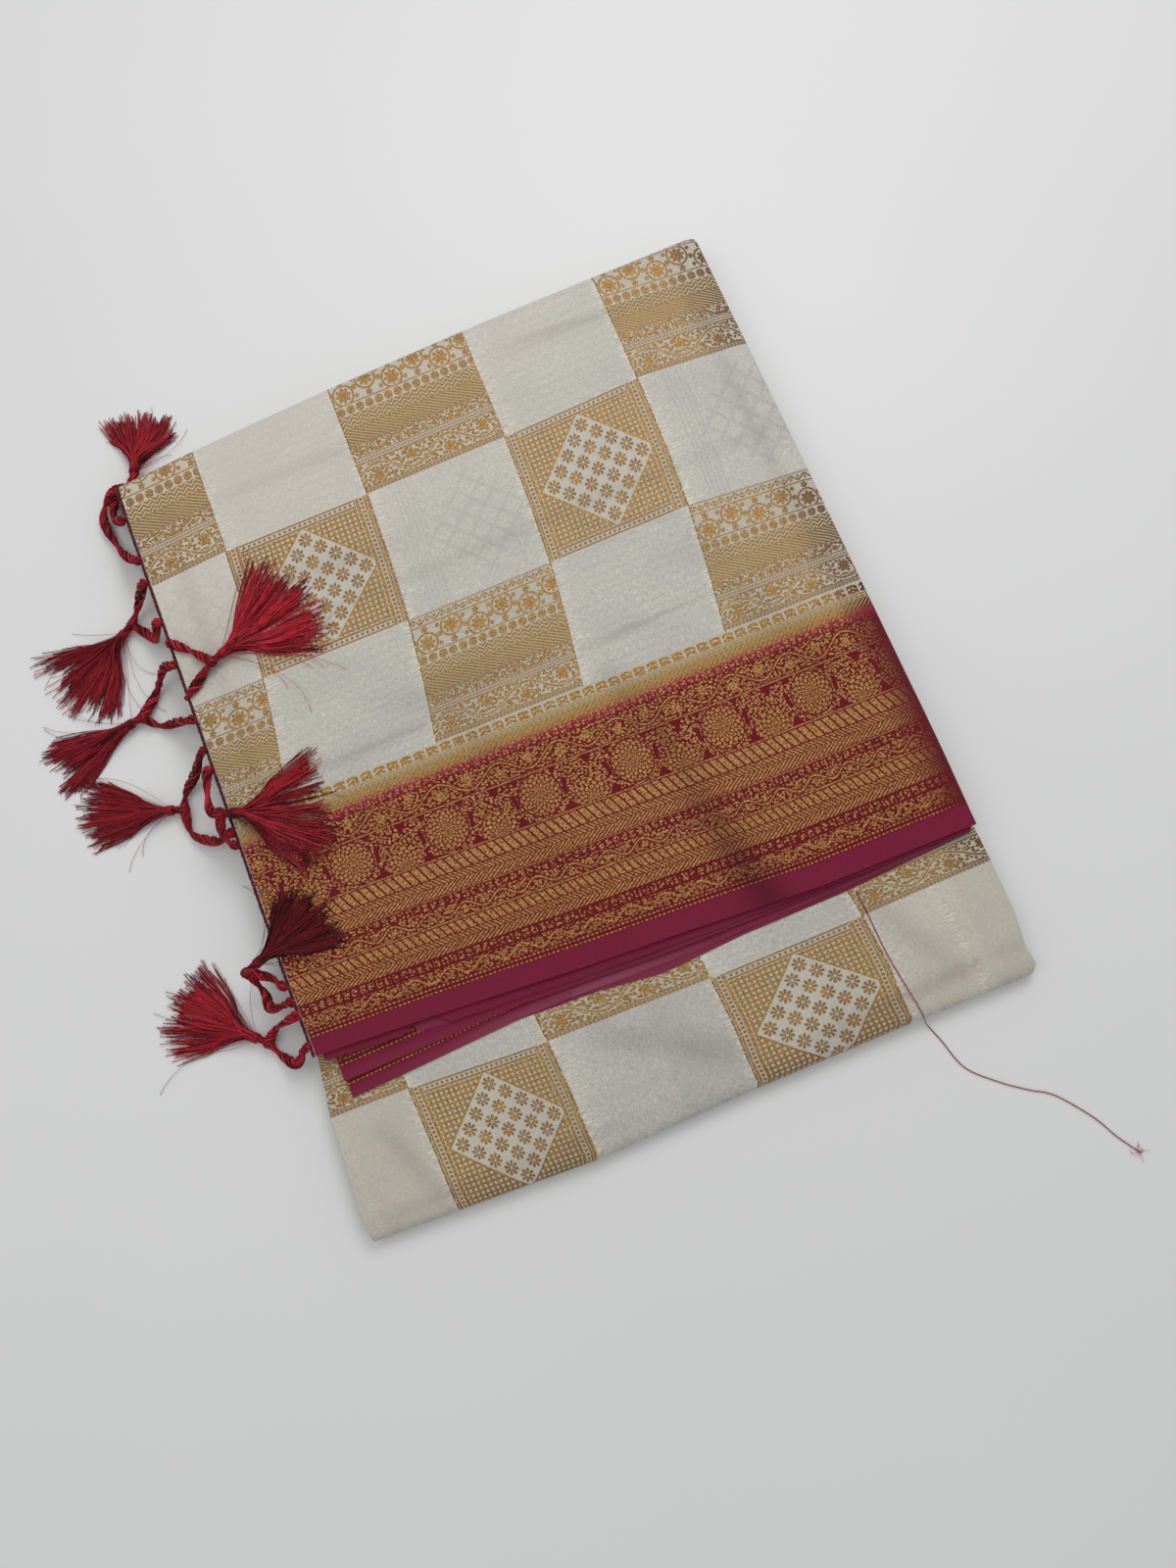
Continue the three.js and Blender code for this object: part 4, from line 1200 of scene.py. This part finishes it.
def strip_way(order, side):
    """Way of one folded edge in y and z, from the front of the flap to the hidden lower part."""
    fold_x = side * HALF_WIDTH
    fold_end = float(along(FOLD_EDGE, fold_x)) - FOLD_DEPTH
    roll_end = float(along(ROLL_EDGE, fold_x)) + ROLL_DEPTH
    upper_z = level_z(LEVELS - 1 - order)
    lower_z = level_z(order)
    half = (upper_z - lower_z) / 2
    centre = (upper_z + lower_z) / 2
    way = [(y, upper_z) for y in np.linspace(FLAP_BACK_Y + 1.5, fold_end, 44, endpoint=False)]
    reach = FOLD_DEPTH * half / (UPPER_TOP / 2)
    for turn in np.linspace(0, np.pi, 14):
        way.append((fold_end + reach * math.sin(turn), centre + half * math.cos(turn)))
    meet = LOWER_LEVELS // 2
    if order > meet:
        way += [(y, lower_z) for y in np.linspace(fold_end, 0, 24)[1:]]
        return way
    way += [(y, lower_z) for y in np.linspace(fold_end, roll_end, 54)[1:]]
    if order == meet:
        return way
    back_z = level_z(LOWER_LEVELS - 1 - order)
    half = (back_z - lower_z) / 2
    centre = (back_z + lower_z) / 2
    reach = ROLL_DEPTH * half / (LOWER_TOP / 2)
    for turn in np.linspace(0, np.pi, 12)[1:]:
        way.append((roll_end - reach * math.sin(turn), centre - half * math.cos(turn)))
    way += [(y, back_z) for y in np.linspace(roll_end, -4, 26)[1:]]
    return way


def strip_section(side):
    """Closed section of a folded edge: inward distance and height, round at the outside."""
    arc = [(STRIP_HALF * (1 - math.cos(a)), STRIP_HALF * math.sin(a))
           for a in np.linspace(-np.pi / 2, np.pi / 2, 5)]
    ring = [(STRIP_DEPTH, -STRIP_HALF)] + arc + [(STRIP_DEPTH, STRIP_HALF)]
    return [(-side * inward, height) for inward, height in ring]


def strip_edge(side, y, z):
    """Where a folded edge may reach along x, below the top stretch or in the lower one."""
    if y < FLAP_BACK_Y or z < STEP_Z:
        table = LOWER_LEFT if side < 0 else LOWER_RIGHT
    else:
        table = UPPER_LEFT if side < 0 else UPPER_RIGHT
    return float(along(table, y))


def folded_strip(side, order, base, rng):
    """One folded edge: its points, weave places, faces, and the finish of each face."""
    way = np.array(strip_way(order, side))
    section = strip_section(side)
    count = len(section)
    tangent = np.gradient(way, axis=0)
    tangent /= np.linalg.norm(tangent, axis=1)[:, None]
    normal = np.stack([-tangent[:, 1], tangent[:, 0]], axis=-1)
    normal *= -1 if normal[0, 1] < 0 else 1
    travel = np.concatenate([[0], np.cumsum(np.linalg.norm(np.diff(way, axis=0), axis=1))])
    inset = 1.6 + rng.uniform(-0.6, 1.3)
    phase = rng.uniform(0, 6)
    wander = 0.55 * np.sin(travel / 37 + phase) + 0.3 * np.sin(travel / 13 + 2 * phase)
    column = rng.choice((0.35, 0.6, 1.3, 1.55)) + order
    points, uv, faces, kinds = [], [], [], []
    for k, (y, z) in enumerate(way):
        edge = strip_edge(side, y, z) - side * (inset + wander[k])
        for inward, height in section:
            points.append((edge + inward, y + normal[k, 0] * height, z + normal[k, 1] * height))
            uv.append((column + inward / CELL, (FLAP_BACK_Y + travel[k]) / LAYER_ROW))
    for k, (y, z) in enumerate(way[:-1]):
        kinds += [1 if z > STEP_Z and y < BORDER_LINE_Y else 0] * count
        for m in range(count):
            a = base + k * count + m
            b = base + k * count + (m + 1) % count
            faces.append((a, b, b + count, a + count))
    last = base + (len(way) - 1) * count
    faces.append(tuple(range(base, base + count))[::-1])
    faces.append(tuple(range(last, last + count)))
    if side > 0:
        faces = [face[::-1] for face in faces]
    return points, uv, faces, kinds + [0, 0]


def folded_layers():
    """Edges of the folded lengths inside the bundle, nested round both folds."""
    rng = random.Random(SEED)
    points, uv, faces, kinds = [], [], [], []
    for side in (-1, 1):
        for order in range(LEVELS // 2):
            strip = folded_strip(side, order, len(points), rng)
            for whole, part in zip((points, uv, faces, kinds), strip):
                whole.extend(part)
    mesh = bpy.data.meshes.new("folded_layers")
    mesh.from_pydata((np.array(points) * MM).tolist(), [], faces)
    flat_index = np.array([v for face in faces for v in face])
    layer = mesh.uv_layers.new(name=WEAVE)
    layer.data.foreach_set("uv", np.array(uv, np.float32)[flat_index].ravel())
    add_values(mesh, SHADE, np.full(len(points), LAYER_SHADE))
    mesh.materials.append(bpy.data.materials["Checked tissue"])
    mesh.materials.append(bpy.data.materials["Border edges"])
    mesh.polygons.foreach_set("material_index", np.array(kinds, np.int32))
    smooth_faces(mesh)
    mesh.update()
    return link(bpy.data.objects.new("folded_layers", mesh))


# Silk strands

def strand_tree(name):
    """Nodes that turn lines into round strands of a given width."""
    tree = bpy.data.node_groups.new(name, "GeometryNodeTree")
    inputs = [("Lines", "Geometry"), ("Width", "Float"), ("Sides", "Int"), ("Silk", "Material")]
    for label, kind in inputs:
        tree.interface.new_socket(label, in_out="INPUT", socket_type="NodeSocket" + kind)
    tree.interface.new_socket("Strands", in_out="OUTPUT", socket_type="NodeSocketGeometry")
    start = add_node(tree, "NodeGroupInput")
    end = add_node(tree, "NodeGroupOutput")
    curve = add_node(tree, "GeometryNodeMeshToCurve")
    radius = add_node(tree, "GeometryNodeInputNamedAttribute", data_type="FLOAT")
    radius.inputs["Name"].default_value = THICK
    scale = add_node(tree, "ShaderNodeMath", operation="MULTIPLY")
    tube = add_node(tree, "GeometryNodeCurveToMesh")
    tube.inputs["Fill Caps"].default_value = True
    profile = add_node(tree, "GeometryNodeCurvePrimitiveCircle")
    profile.inputs["Radius"].default_value = 1.0
    finish = add_node(tree, "GeometryNodeSetMaterial")
    whole = add_node(tree, "GeometryNodeRealizeInstances")
    wire = tree.links.new
    wire(start.outputs["Lines"], curve.inputs["Mesh"])
    wire(radius.outputs["Attribute"], scale.inputs[0])
    wire(start.outputs["Width"], scale.inputs[1])
    wire(start.outputs["Sides"], profile.inputs["Resolution"])
    wire(profile.outputs["Curve"], tube.inputs["Profile Curve"])
    wire(curve.outputs["Curve"], tube.inputs["Curve"])
    wire(scale.outputs[0], tube.inputs["Scale"])
    wire(tube.outputs["Mesh"], whole.inputs["Geometry"])
    wire(whole.outputs["Geometry"], finish.inputs["Geometry"])
    wire(start.outputs["Silk"], finish.inputs["Material"])
    wire(finish.outputs["Geometry"], end.inputs["Strands"])
    return tree


def grow(name, lines, material, sides=3):
    """A plain mesh of strands from lines of (points in mm, radii in mm, tone)."""
    points = np.concatenate([line[0] for line in lines])
    thick = np.concatenate([np.broadcast_to(line[1], len(line[0])) for line in lines])
    tone = np.concatenate([np.full(len(line[0]), line[2]) for line in lines])
    edges, base = [], 0
    for line in lines:
        count = len(line[0])
        edges += [(base + k, base + k + 1) for k in range(count - 1)]
        base += count
    mesh = bpy.data.meshes.new(name + "_lines")
    mesh.from_pydata((points * MM).tolist(), edges, [])
    add_values(mesh, THICK, thick * MM)
    add_values(mesh, TONE_AND_PAINTED_LIGHT, tone)
    obj = link(bpy.data.objects.new(name, mesh))
    tree = bpy.data.node_groups.get("Strands") or strand_tree("Strands")
    modifier = obj.modifiers.new("Strands", "NODES")
    modifier.node_group = tree
    sockets = {item.name: item.identifier for item in tree.interface.items_tree if item.in_out == "INPUT"}
    modifier[sockets["Width"]] = 1.0
    modifier[sockets["Sides"]] = sides
    modifier[sockets["Silk"]] = material
    result = bpy.data.meshes.new_from_object(
        obj.evaluated_get(bpy.context.evaluated_depsgraph_get()))
    obj.modifiers.remove(modifier)
    obj.data = result
    result.name = name
    smooth_faces(result)
    return obj


def catmull(stops, per_span):
    """A smooth line through stops."""
    stops = np.array(stops, float)
    ends = np.concatenate([[2 * stops[0] - stops[1]], stops, [2 * stops[-1] - stops[-2]]])
    out = []
    for k in range(1, len(ends) - 2):
        p0, p1, p2, p3 = ends[k - 1:k + 3]
        for t in np.arange(per_span) / per_span:
            out.append(0.5 * (2 * p1 + (p2 - p0) * t + (2 * p0 - 5 * p1 + 4 * p2 - p3) * t**2
                              + (3 * p1 - p0 - 3 * p2 + p3) * t**3))
    out.append(stops[-1])
    return np.array(out)


def frames_along(line):
    """Two directions square to a line at each of its points, turning as little as they can."""
    tangent = np.gradient(line, axis=0)
    tangent /= np.linalg.norm(tangent, axis=1)[:, None]
    side = np.cross(tangent[0], (0.1, 0.2, 1.0))
    sides = []
    for direction in tangent:
        side = side - direction * side.dot(direction)
        side = side / np.linalg.norm(side)
        sides.append(side)
    sides = np.array(sides)
    return sides, np.cross(tangent, sides)


def twisted(line, radius, turns, count, thick, rng, pinch=0.15):
    """Strands twisted round a line, pinched and swollen along it."""
    side, lift = frames_along(line)
    part = np.linspace(0, 1, len(line))
    phase = rng.uniform(0, 3)
    swollen = radius * (1 - pinch + 2 * pinch * np.abs(np.sin(part * turns * 2.4 + phase)))
    lines = []
    for k in range(count):
        angle = 2 * np.pi * (k / count + part * turns)
        own = swollen * (1 if k % 3 else 0.62)
        offset = side * (own * np.cos(angle))[:, None] + lift * (own * np.sin(angle))[:, None]
        lines.append((line + offset, thick, rng.choice((0.12, 0.3, 0.5, 0.85))))
    return lines


def wound(centre, axis, radius, length, turns, thick, rng):
    """Thread wound round an axis, as at a bound neck."""
    axis = np.array(axis, float) / np.linalg.norm(axis)
    side = np.cross(axis, (0.0, 0.0, 1.0))
    if np.linalg.norm(side) < 0.1:
        side = np.cross(axis, (0.0, 1.0, 0.0))
    side /= np.linalg.norm(side)
    lift = np.cross(axis, side)
    angle = np.linspace(0, 2 * np.pi * turns, int(WOUND_STEPS * turns))
    shift = np.linspace(-length / 2, length / 2, len(angle))
    line = (np.array(centre) + side * (radius * np.cos(angle))[:, None]
            + lift * (radius * np.sin(angle))[:, None] + axis * shift[:, None])
    return [(line, thick, rng.uniform(0.1, 0.6))]


def knot(centre, radius, rng):
    """A small tied knot: loops of floss laid over each other at several slants."""
    lines = []
    for _ in range(9):
        axis = np.array([rng.gauss(0, 1), rng.gauss(0, 1), rng.gauss(0, 0.6)])
        lines += wound(centre, axis, radius * rng.uniform(0.72, 0.95), radius * 0.5, 1.1,
                       radius * 0.24, rng)
    return lines


def directions(degrees):
    """Unit ways ahead and aside, flat on the floor, for an angle in degrees."""
    aim = math.radians(degrees)
    ahead = np.array([math.cos(aim), math.sin(aim), 0])
    return ahead, np.array([-ahead[1], ahead[0], 0])


def skirt(row, count, thick, rng):
    """Loose strands of a tassel, bound at the neck, fanned out and laid down in clumps."""
    neck = np.array(row["neck"], float)
    ahead, aside = directions(row["aim"])
    clumps = [(rng.uniform(-1, 1) * row["spread"], rng.uniform(0.8, 1.06), rng.uniform(0, 1))
              for _ in range(CLUMPS)]
    part = np.linspace(0, 1, SKIRT_POINTS)
    lines = []
    for _ in range(count):
        middle, length, high = rng.choice(clumps)
        own = middle + rng.gauss(0, 0.1) * row["spread"]
        own = float(np.clip(own, -row["spread"] * 1.08, row["spread"] * 1.08))
        reach = row["reach"] * length * rng.uniform(0.84, 1.03)
        at_neck = rng.uniform(0, 2 * math.pi)
        hold = NECK_HOLD * math.sqrt(rng.random())
        s = 1.0 + (reach - 1.0) * part
        gather = smooth(s, 1, 16) * 0.35 + np.clip((s - 1) / 26, 0, 1) * 0.65
        pull = 1 - 0.45 * part**3
        angle = np.radians(middle + (own - middle) * pull) * np.maximum(gather, 0.02)
        bend = math.radians(rng.gauss(0, 2.5))
        angle = angle + bend * part**2
        out = hold * math.cos(at_neck) * (1 - part)
        rise = hold * math.sin(at_neck)
        puff = 1 + 0.9 * np.sin(np.pi * np.clip(s / 22, 0, 1))
        layer = 0.45 + 2.6 * high * (1 - 0.55 * part) * (0.5 + 0.5 * rng.random())
        rest = row["onto"] + layer
        drop = smooth(s, 3, min(34, row["reach"] * 0.75))
        z = (neck[2] + rise * puff) * (1 - drop) + rest * drop
        z = np.maximum(z, row["onto"] * smooth(s, 0, 6) + 0.35)
        line = (neck + ahead * (s * np.cos(angle))[:, None]
                + aside * (s * np.sin(angle) + out)[:, None])
        line[:, 2] = z
        # Painted light: strands higher in the pile, and those picked as lit, are paler
        lit = rng.choice((0.0, 0.15, 0.55, 0.9, 1.0))
        tone = 0.25 * high + 0.85 * lit * (0.5 + 0.5 * high) + rng.gauss(0, 0.08)
        tone = np.clip(tone, 0, 1) * row["tone"]
        radii = thick * (1 - 0.25 * part**2)
        lines.append((line, radii, float(tone)))
    return lines


def strays(row, rng):
    """A few strands that have come away and curl by themselves."""
    neck = np.array(row["neck"], float)
    lines = []
    for _ in range(STRAYS):
        way = math.radians(row["aim"] + rng.uniform(-1.5, 1.5) * row["spread"])
        length = row["reach"] * rng.uniform(0.5, 1.04)
        curl = rng.uniform(-1.4, 1.4)
        s = np.linspace(0, 1, STRAY_POINTS)
        angle = way + curl * s**2
        step = length / (STRAY_POINTS - 1)
        line = np.zeros((STRAY_POINTS, 3))
        line[:, 0] = neck[0] + np.cumsum(np.cos(angle) * step)
        line[:, 1] = neck[1] + np.cumsum(np.sin(angle) * step)
        rest = np.where((line[:, 0] > CLOTH_EDGE_X) & bool(row["onto"]), UPPER_TOP + 0.9, 0.4)
        if not row["onto"] and abs(row["aim"]) > 90:
            line[:, 0] = np.minimum(line[:, 0], CLOTH_EDGE_X - 2)
        line[:, 2] = neck[2] * (1 - s**0.5) + rest * s**0.5 + 0.8 * np.sin(np.pi * s)
        lines.append((line, STRAY_RADIUS, rng.uniform(0.05, 0.8) * row["tone"]))
    return lines


def hem_x(y):
    return float(along(UPPER_LEFT, y)) - 1.4


def hem_z(y):
    return float(border_top(-HALF_WIDTH, y)) - 0.6 if y < BORDER_LINE_Y else UPPER_TOP - 0.6


def tassel(name, row, silk, material, rng):
    """One tassel: skirt, bound neck, knot and the two twisted legs that tie it to the hem."""
    neck = np.array(row["neck"], float)
    ahead, _ = directions(row["aim"])
    tie = neck - ahead * KNOT_BACK
    thick = silk.strand_width / MM
    lines = skirt(row, silk.strands, thick, rng)
    lines += strays(row, rng)
    lines += wound(neck + ahead * 1.6, ahead, NECK_RADIUS, NECK_LENGTH, NECK_TURNS, 0.42, rng)
    head = catmull([tie, tie + ahead * 3.2, neck + ahead * 2], 5)
    lines += twisted(head, 1.9, 0.4, 16, 0.5, rng)
    lines += knot(tie, KNOT_RADIUS, rng)
    for stops, hem_y, over in row["legs"]:
        z = hem_z(hem_y)
        side = hem_x(hem_y) - 1.6
        ends = [(hem_x(hem_y), hem_y, z + 2.6)] if over else [(side - 2, hem_y, z), (side, hem_y, z)]
        line = catmull([tuple(tie)] + list(stops) + ends, 9)
        length = np.linalg.norm(np.diff(line, axis=0), axis=1).sum()
        lines += twisted(line, LEG_RADIUS, length / LEG_TWIST, LEG_STRANDS, 0.62, rng, pinch=0.55)
        for place in (0.36, 0.7) if length > 30 else ():
            lines += knot(line[int(place * (len(line) - 1))], LEG_KNOT, rng)
        lines += knot(line[-1], HEM_KNOT, rng)
    return grow(name, lines, material)


# Operators

def settle(piece, node):
    """Let a piece ride on the body, and stand for a node if it has one."""
    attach(piece, BODY)
    if node:
        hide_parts(node)


def settle_sheet(piece, node):
    settle(piece, node)


class SAREE_OT_materials(bpy.types.Operator):
    """Make the finishes of the cloth and the silk"""
    bl_idname = "saree.materials"
    bl_label = "Saree finishes"

    def execute(self, context):
        cloth, silk = context.scene.saree_cloth, context.scene.saree_silk
        make_motifs()
        check_material(cloth)
        border_material(cloth)
        silk_material("Tassel silk", tuple(silk.silk), tuple(silk.silk_dark), 0.34)
        for row in SMALL_SILKS:
            silk_material(*row)
        return {"FINISHED"}


class SAREE_OT_stage(bpy.types.Operator):
    """Lay the pale floor and place the camera and the soft lights"""
    bl_idname = "saree.stage"
    bl_label = "Stage"

    def execute(self, context):
        stage = context.scene.saree_stage
        material, tree = new_material("Pale floor")
        shader = principled(tree)
        cloud = noise(tree, object_point(tree), 0.004)
        pale = tuple(stage.floor)
        put(tree, mix(tree, cloud, scaled(pale, 0.96), pale), shader.inputs["Base Color"])
        shader.inputs["Roughness"].default_value = 0.5
        mesh = bpy.data.meshes.new("floor")
        corners = [(-1, -1), (1, -1), (1, 1), (-1, 1)]
        mesh.from_pydata([(x * FLOOR_HALF, y * FLOOR_HALF, -0.1 * MM) for x, y in corners],
                         [], [(0, 1, 2, 3)])
        mesh.materials.append(material)
        link(bpy.data.objects.new("floor", mesh))

        camera = bpy.data.cameras.new("view")
        camera.lens = stage.lens
        camera.sensor_width = 36
        camera.clip_start = 0.01
        view = link(bpy.data.objects.new("view", camera))
        view.location = VIEW_PLACE
        view.rotation_euler = np.radians(VIEW_TURN)
        context.scene.camera = view

        world = bpy.data.worlds.new("soft sky")
        world.use_nodes = True
        sky = world.node_tree.nodes["Background"]
        sky.inputs["Color"].default_value = (0.97, 0.985, 1.0, 1)
        sky.inputs["Strength"].default_value = stage.sky
        context.scene.world = world
        context.scene.view_settings.view_transform = "Standard"
        lamps = [("key", (0.46, 0.7, 1.1), 0.7, stage.key), ("fill", (-0.6, 0.2, 1.2), 1.0, 2.2)]
        for name, place, size, power in lamps:
            data = bpy.data.lights.new(name, "AREA")
            data.size = size
            data.energy = power
            lamp = link(bpy.data.objects.new(name, data))
            lamp.location = place
            lamp.rotation_euler = (-Vector(place)).to_track_quat("-Z", "Y").to_euler()
        return {"FINISHED"}


class SAREE_OT_thread(bpy.types.Operator):
    """Lay the single loose thread from under the selvedges down to the floor"""
    bl_idname = "saree.thread"
    bl_label = "Loose thread"

    def execute(self, context):
        line = catmull(THREAD_ROUTE, 8)
        curve = bpy.data.curves.new("loose_thread", "CURVE")
        curve.dimensions = "3D"
        spline = curve.splines.new("POLY")
        spline.points.add(len(line) - 1)
        spline.points.foreach_set("co", np.column_stack([line, np.ones(len(line))]).ravel())
        curve.bevel_depth = THREAD_DIAMETER / 2
        curve.bevel_resolution = 2
        curve.use_fill_caps = True
        curve.materials.append(bpy.data.materials["Loose silk"])
        thread = link(bpy.data.objects.new("loose_thread_strand", curve))
        rng = random.Random(SEED)
        end = line[-1] / MM
        lines = []
        for _ in range(TIP_HAIRS):
            turn = rng.uniform(0, 2 * math.pi)
            away = rng.uniform(2, 6)
            tip = end + np.array([math.cos(turn), math.sin(turn), 0]) * away
            bent = (end + tip) / 2 + np.array([rng.gauss(0, 0.8), rng.gauss(0, 0.8), 0.5])
            way = catmull([end, bent, (tip[0], tip[1], 0.3)], 4)
            way[:, 2] = np.maximum(way[:, 2], 0.25)
            lines.append((way, TIP_HAIR_RADIUS, rng.uniform(0.2, 0.8)))
        tuft = grow("loose_thread_tuft", lines, bpy.data.materials["Loose silk"])
        settle(thread, "loose_thread")
        settle(tuft, None)
        return {"FINISHED"}


class SAREE_OT_cloth(bpy.types.Operator):
    """Make the checked cloth and the border of the outer layer"""
    bl_idname = "saree.cloth"
    bl_label = "Outer cloth"

    def execute(self, context):
        cloth = context.scene.saree_cloth
        lower, lower_flat = body_sheet("lower_cloth", False, cloth)
        upper, upper_flat = body_sheet("upper_cloth", True, cloth)
        border, border_flat = border_sheet(cloth)
        settle_sheet(lower, "lower_body")
        settle_sheet(upper, "upper_body")
        settle_sheet(border, "upper_border")
        return {"FINISHED"}


class SAREE_OT_layers(bpy.types.Operator):
    """Make the folded edges of the hidden lengths"""
    bl_idname = "saree.layers"
    bl_label = "Hidden layers"

    def execute(self, context):
        settle(folded_layers(), "folded_core")
        return {"FINISHED"}


class SAREE_OT_selvedges(bpy.types.Operator):
    """Make the inner selvedges that fan out below the border"""
    bl_idname = "saree.selvedges"
    bl_label = "Inner selvedges"

    def execute(self, context):
        cloth = context.scene.saree_cloth
        for order, row in enumerate(LEAVES):
            leaf, flat = leaf_sheet(f"selvedge_{order + 1}", row, cloth)
            settle_sheet(leaf, row["node"])
        return {"FINISHED"}


class SAREE_OT_hem(bpy.types.Operator):
    """Make the rolled hem of the tasselled end"""
    bl_idname = "saree.hem"
    bl_label = "Hem"

    def execute(self, context):
        rng = random.Random(SEED)
        start = float(along(SELVEDGE, -HALF_WIDTH))
        end = float(along(FOLD_EDGE, -HALF_WIDTH)) - FOLD_DEPTH
        half = UPPER_TOP / 2
        way = [(hem_x(y), y, hem_z(y)) for y in np.linspace(start, end, 60)]
        for turn in np.radians([20, 40, 60, 80, 100, 120, 145]):
            y = end + (FOLD_DEPTH - 0.6) * math.sin(turn)
            way.append((hem_x(y), y, half + (half - 0.6) * math.cos(turn)))
        line = catmull(way, 3)
        lines = twisted(line, 0.55, 46, 5, 0.5, rng)
        hem = grow("rolled_hem", lines, bpy.data.materials["Hem silk"], sides=5)
        settle(hem, "pallu_hem")
        return {"FINISHED"}


class SAREE_OT_tassels(bpy.types.Operator):
    """Make the eight silk tassels tied to the hem"""
    bl_idname = "saree.tassels"
    bl_label = "Tassels"

    def execute(self, context):
        silk = context.scene.saree_silk
        for order, row in enumerate(TASSELS):
            rng = random.Random(SEED + order)
            name = f"tassel_{order + 1}"
            piece = tassel("silk_" + name, row, silk, bpy.data.materials["Tassel silk"], rng)
            settle(piece, name)
        return {"FINISHED"}


STEPS = ["materials", "stage", "thread", "layers", "cloth", "selvedges", "hem", "tassels"]


class SAREE_PT_panel(bpy.types.Panel):
    """Pieces of the folded saree"""
    bl_idname = "SAREE_PT_panel"
    bl_label = "Folded saree"
    bl_space_type = "VIEW_3D"
    bl_region_type = "UI"
    bl_category = "Saree"

    def draw(self, context):
        for step in STEPS:
            self.layout.operator(f"saree.{step}")
        for group in (context.scene.saree_cloth, context.scene.saree_silk, context.scene.saree_stage):
            box = self.layout.box()
            for name in group.__annotations__:
                box.prop(group, name)


CLASSES = [
    SareeCloth, SareeSilk, SareeStage, SAREE_OT_materials, SAREE_OT_stage, SAREE_OT_thread,
    SAREE_OT_layers, SAREE_OT_cloth, SAREE_OT_selvedges, SAREE_OT_hem, SAREE_OT_tassels,
    SAREE_PT_panel,
]


def register():
    for item in CLASSES:
        bpy.utils.register_class(item)
    bpy.types.Scene.saree_cloth = bpy.props.PointerProperty(type=SareeCloth)
    bpy.types.Scene.saree_silk = bpy.props.PointerProperty(type=SareeSilk)
    bpy.types.Scene.saree_stage = bpy.props.PointerProperty(type=SareeStage)


def unregister():
    del bpy.types.Scene.saree_stage
    del bpy.types.Scene.saree_silk
    del bpy.types.Scene.saree_cloth
    for item in reversed(CLASSES):
        bpy.utils.unregister_class(item)


def main():
    register()
    for step in STEPS:
        getattr(bpy.ops.saree, step)()


if __name__ == "__main__":
    main()
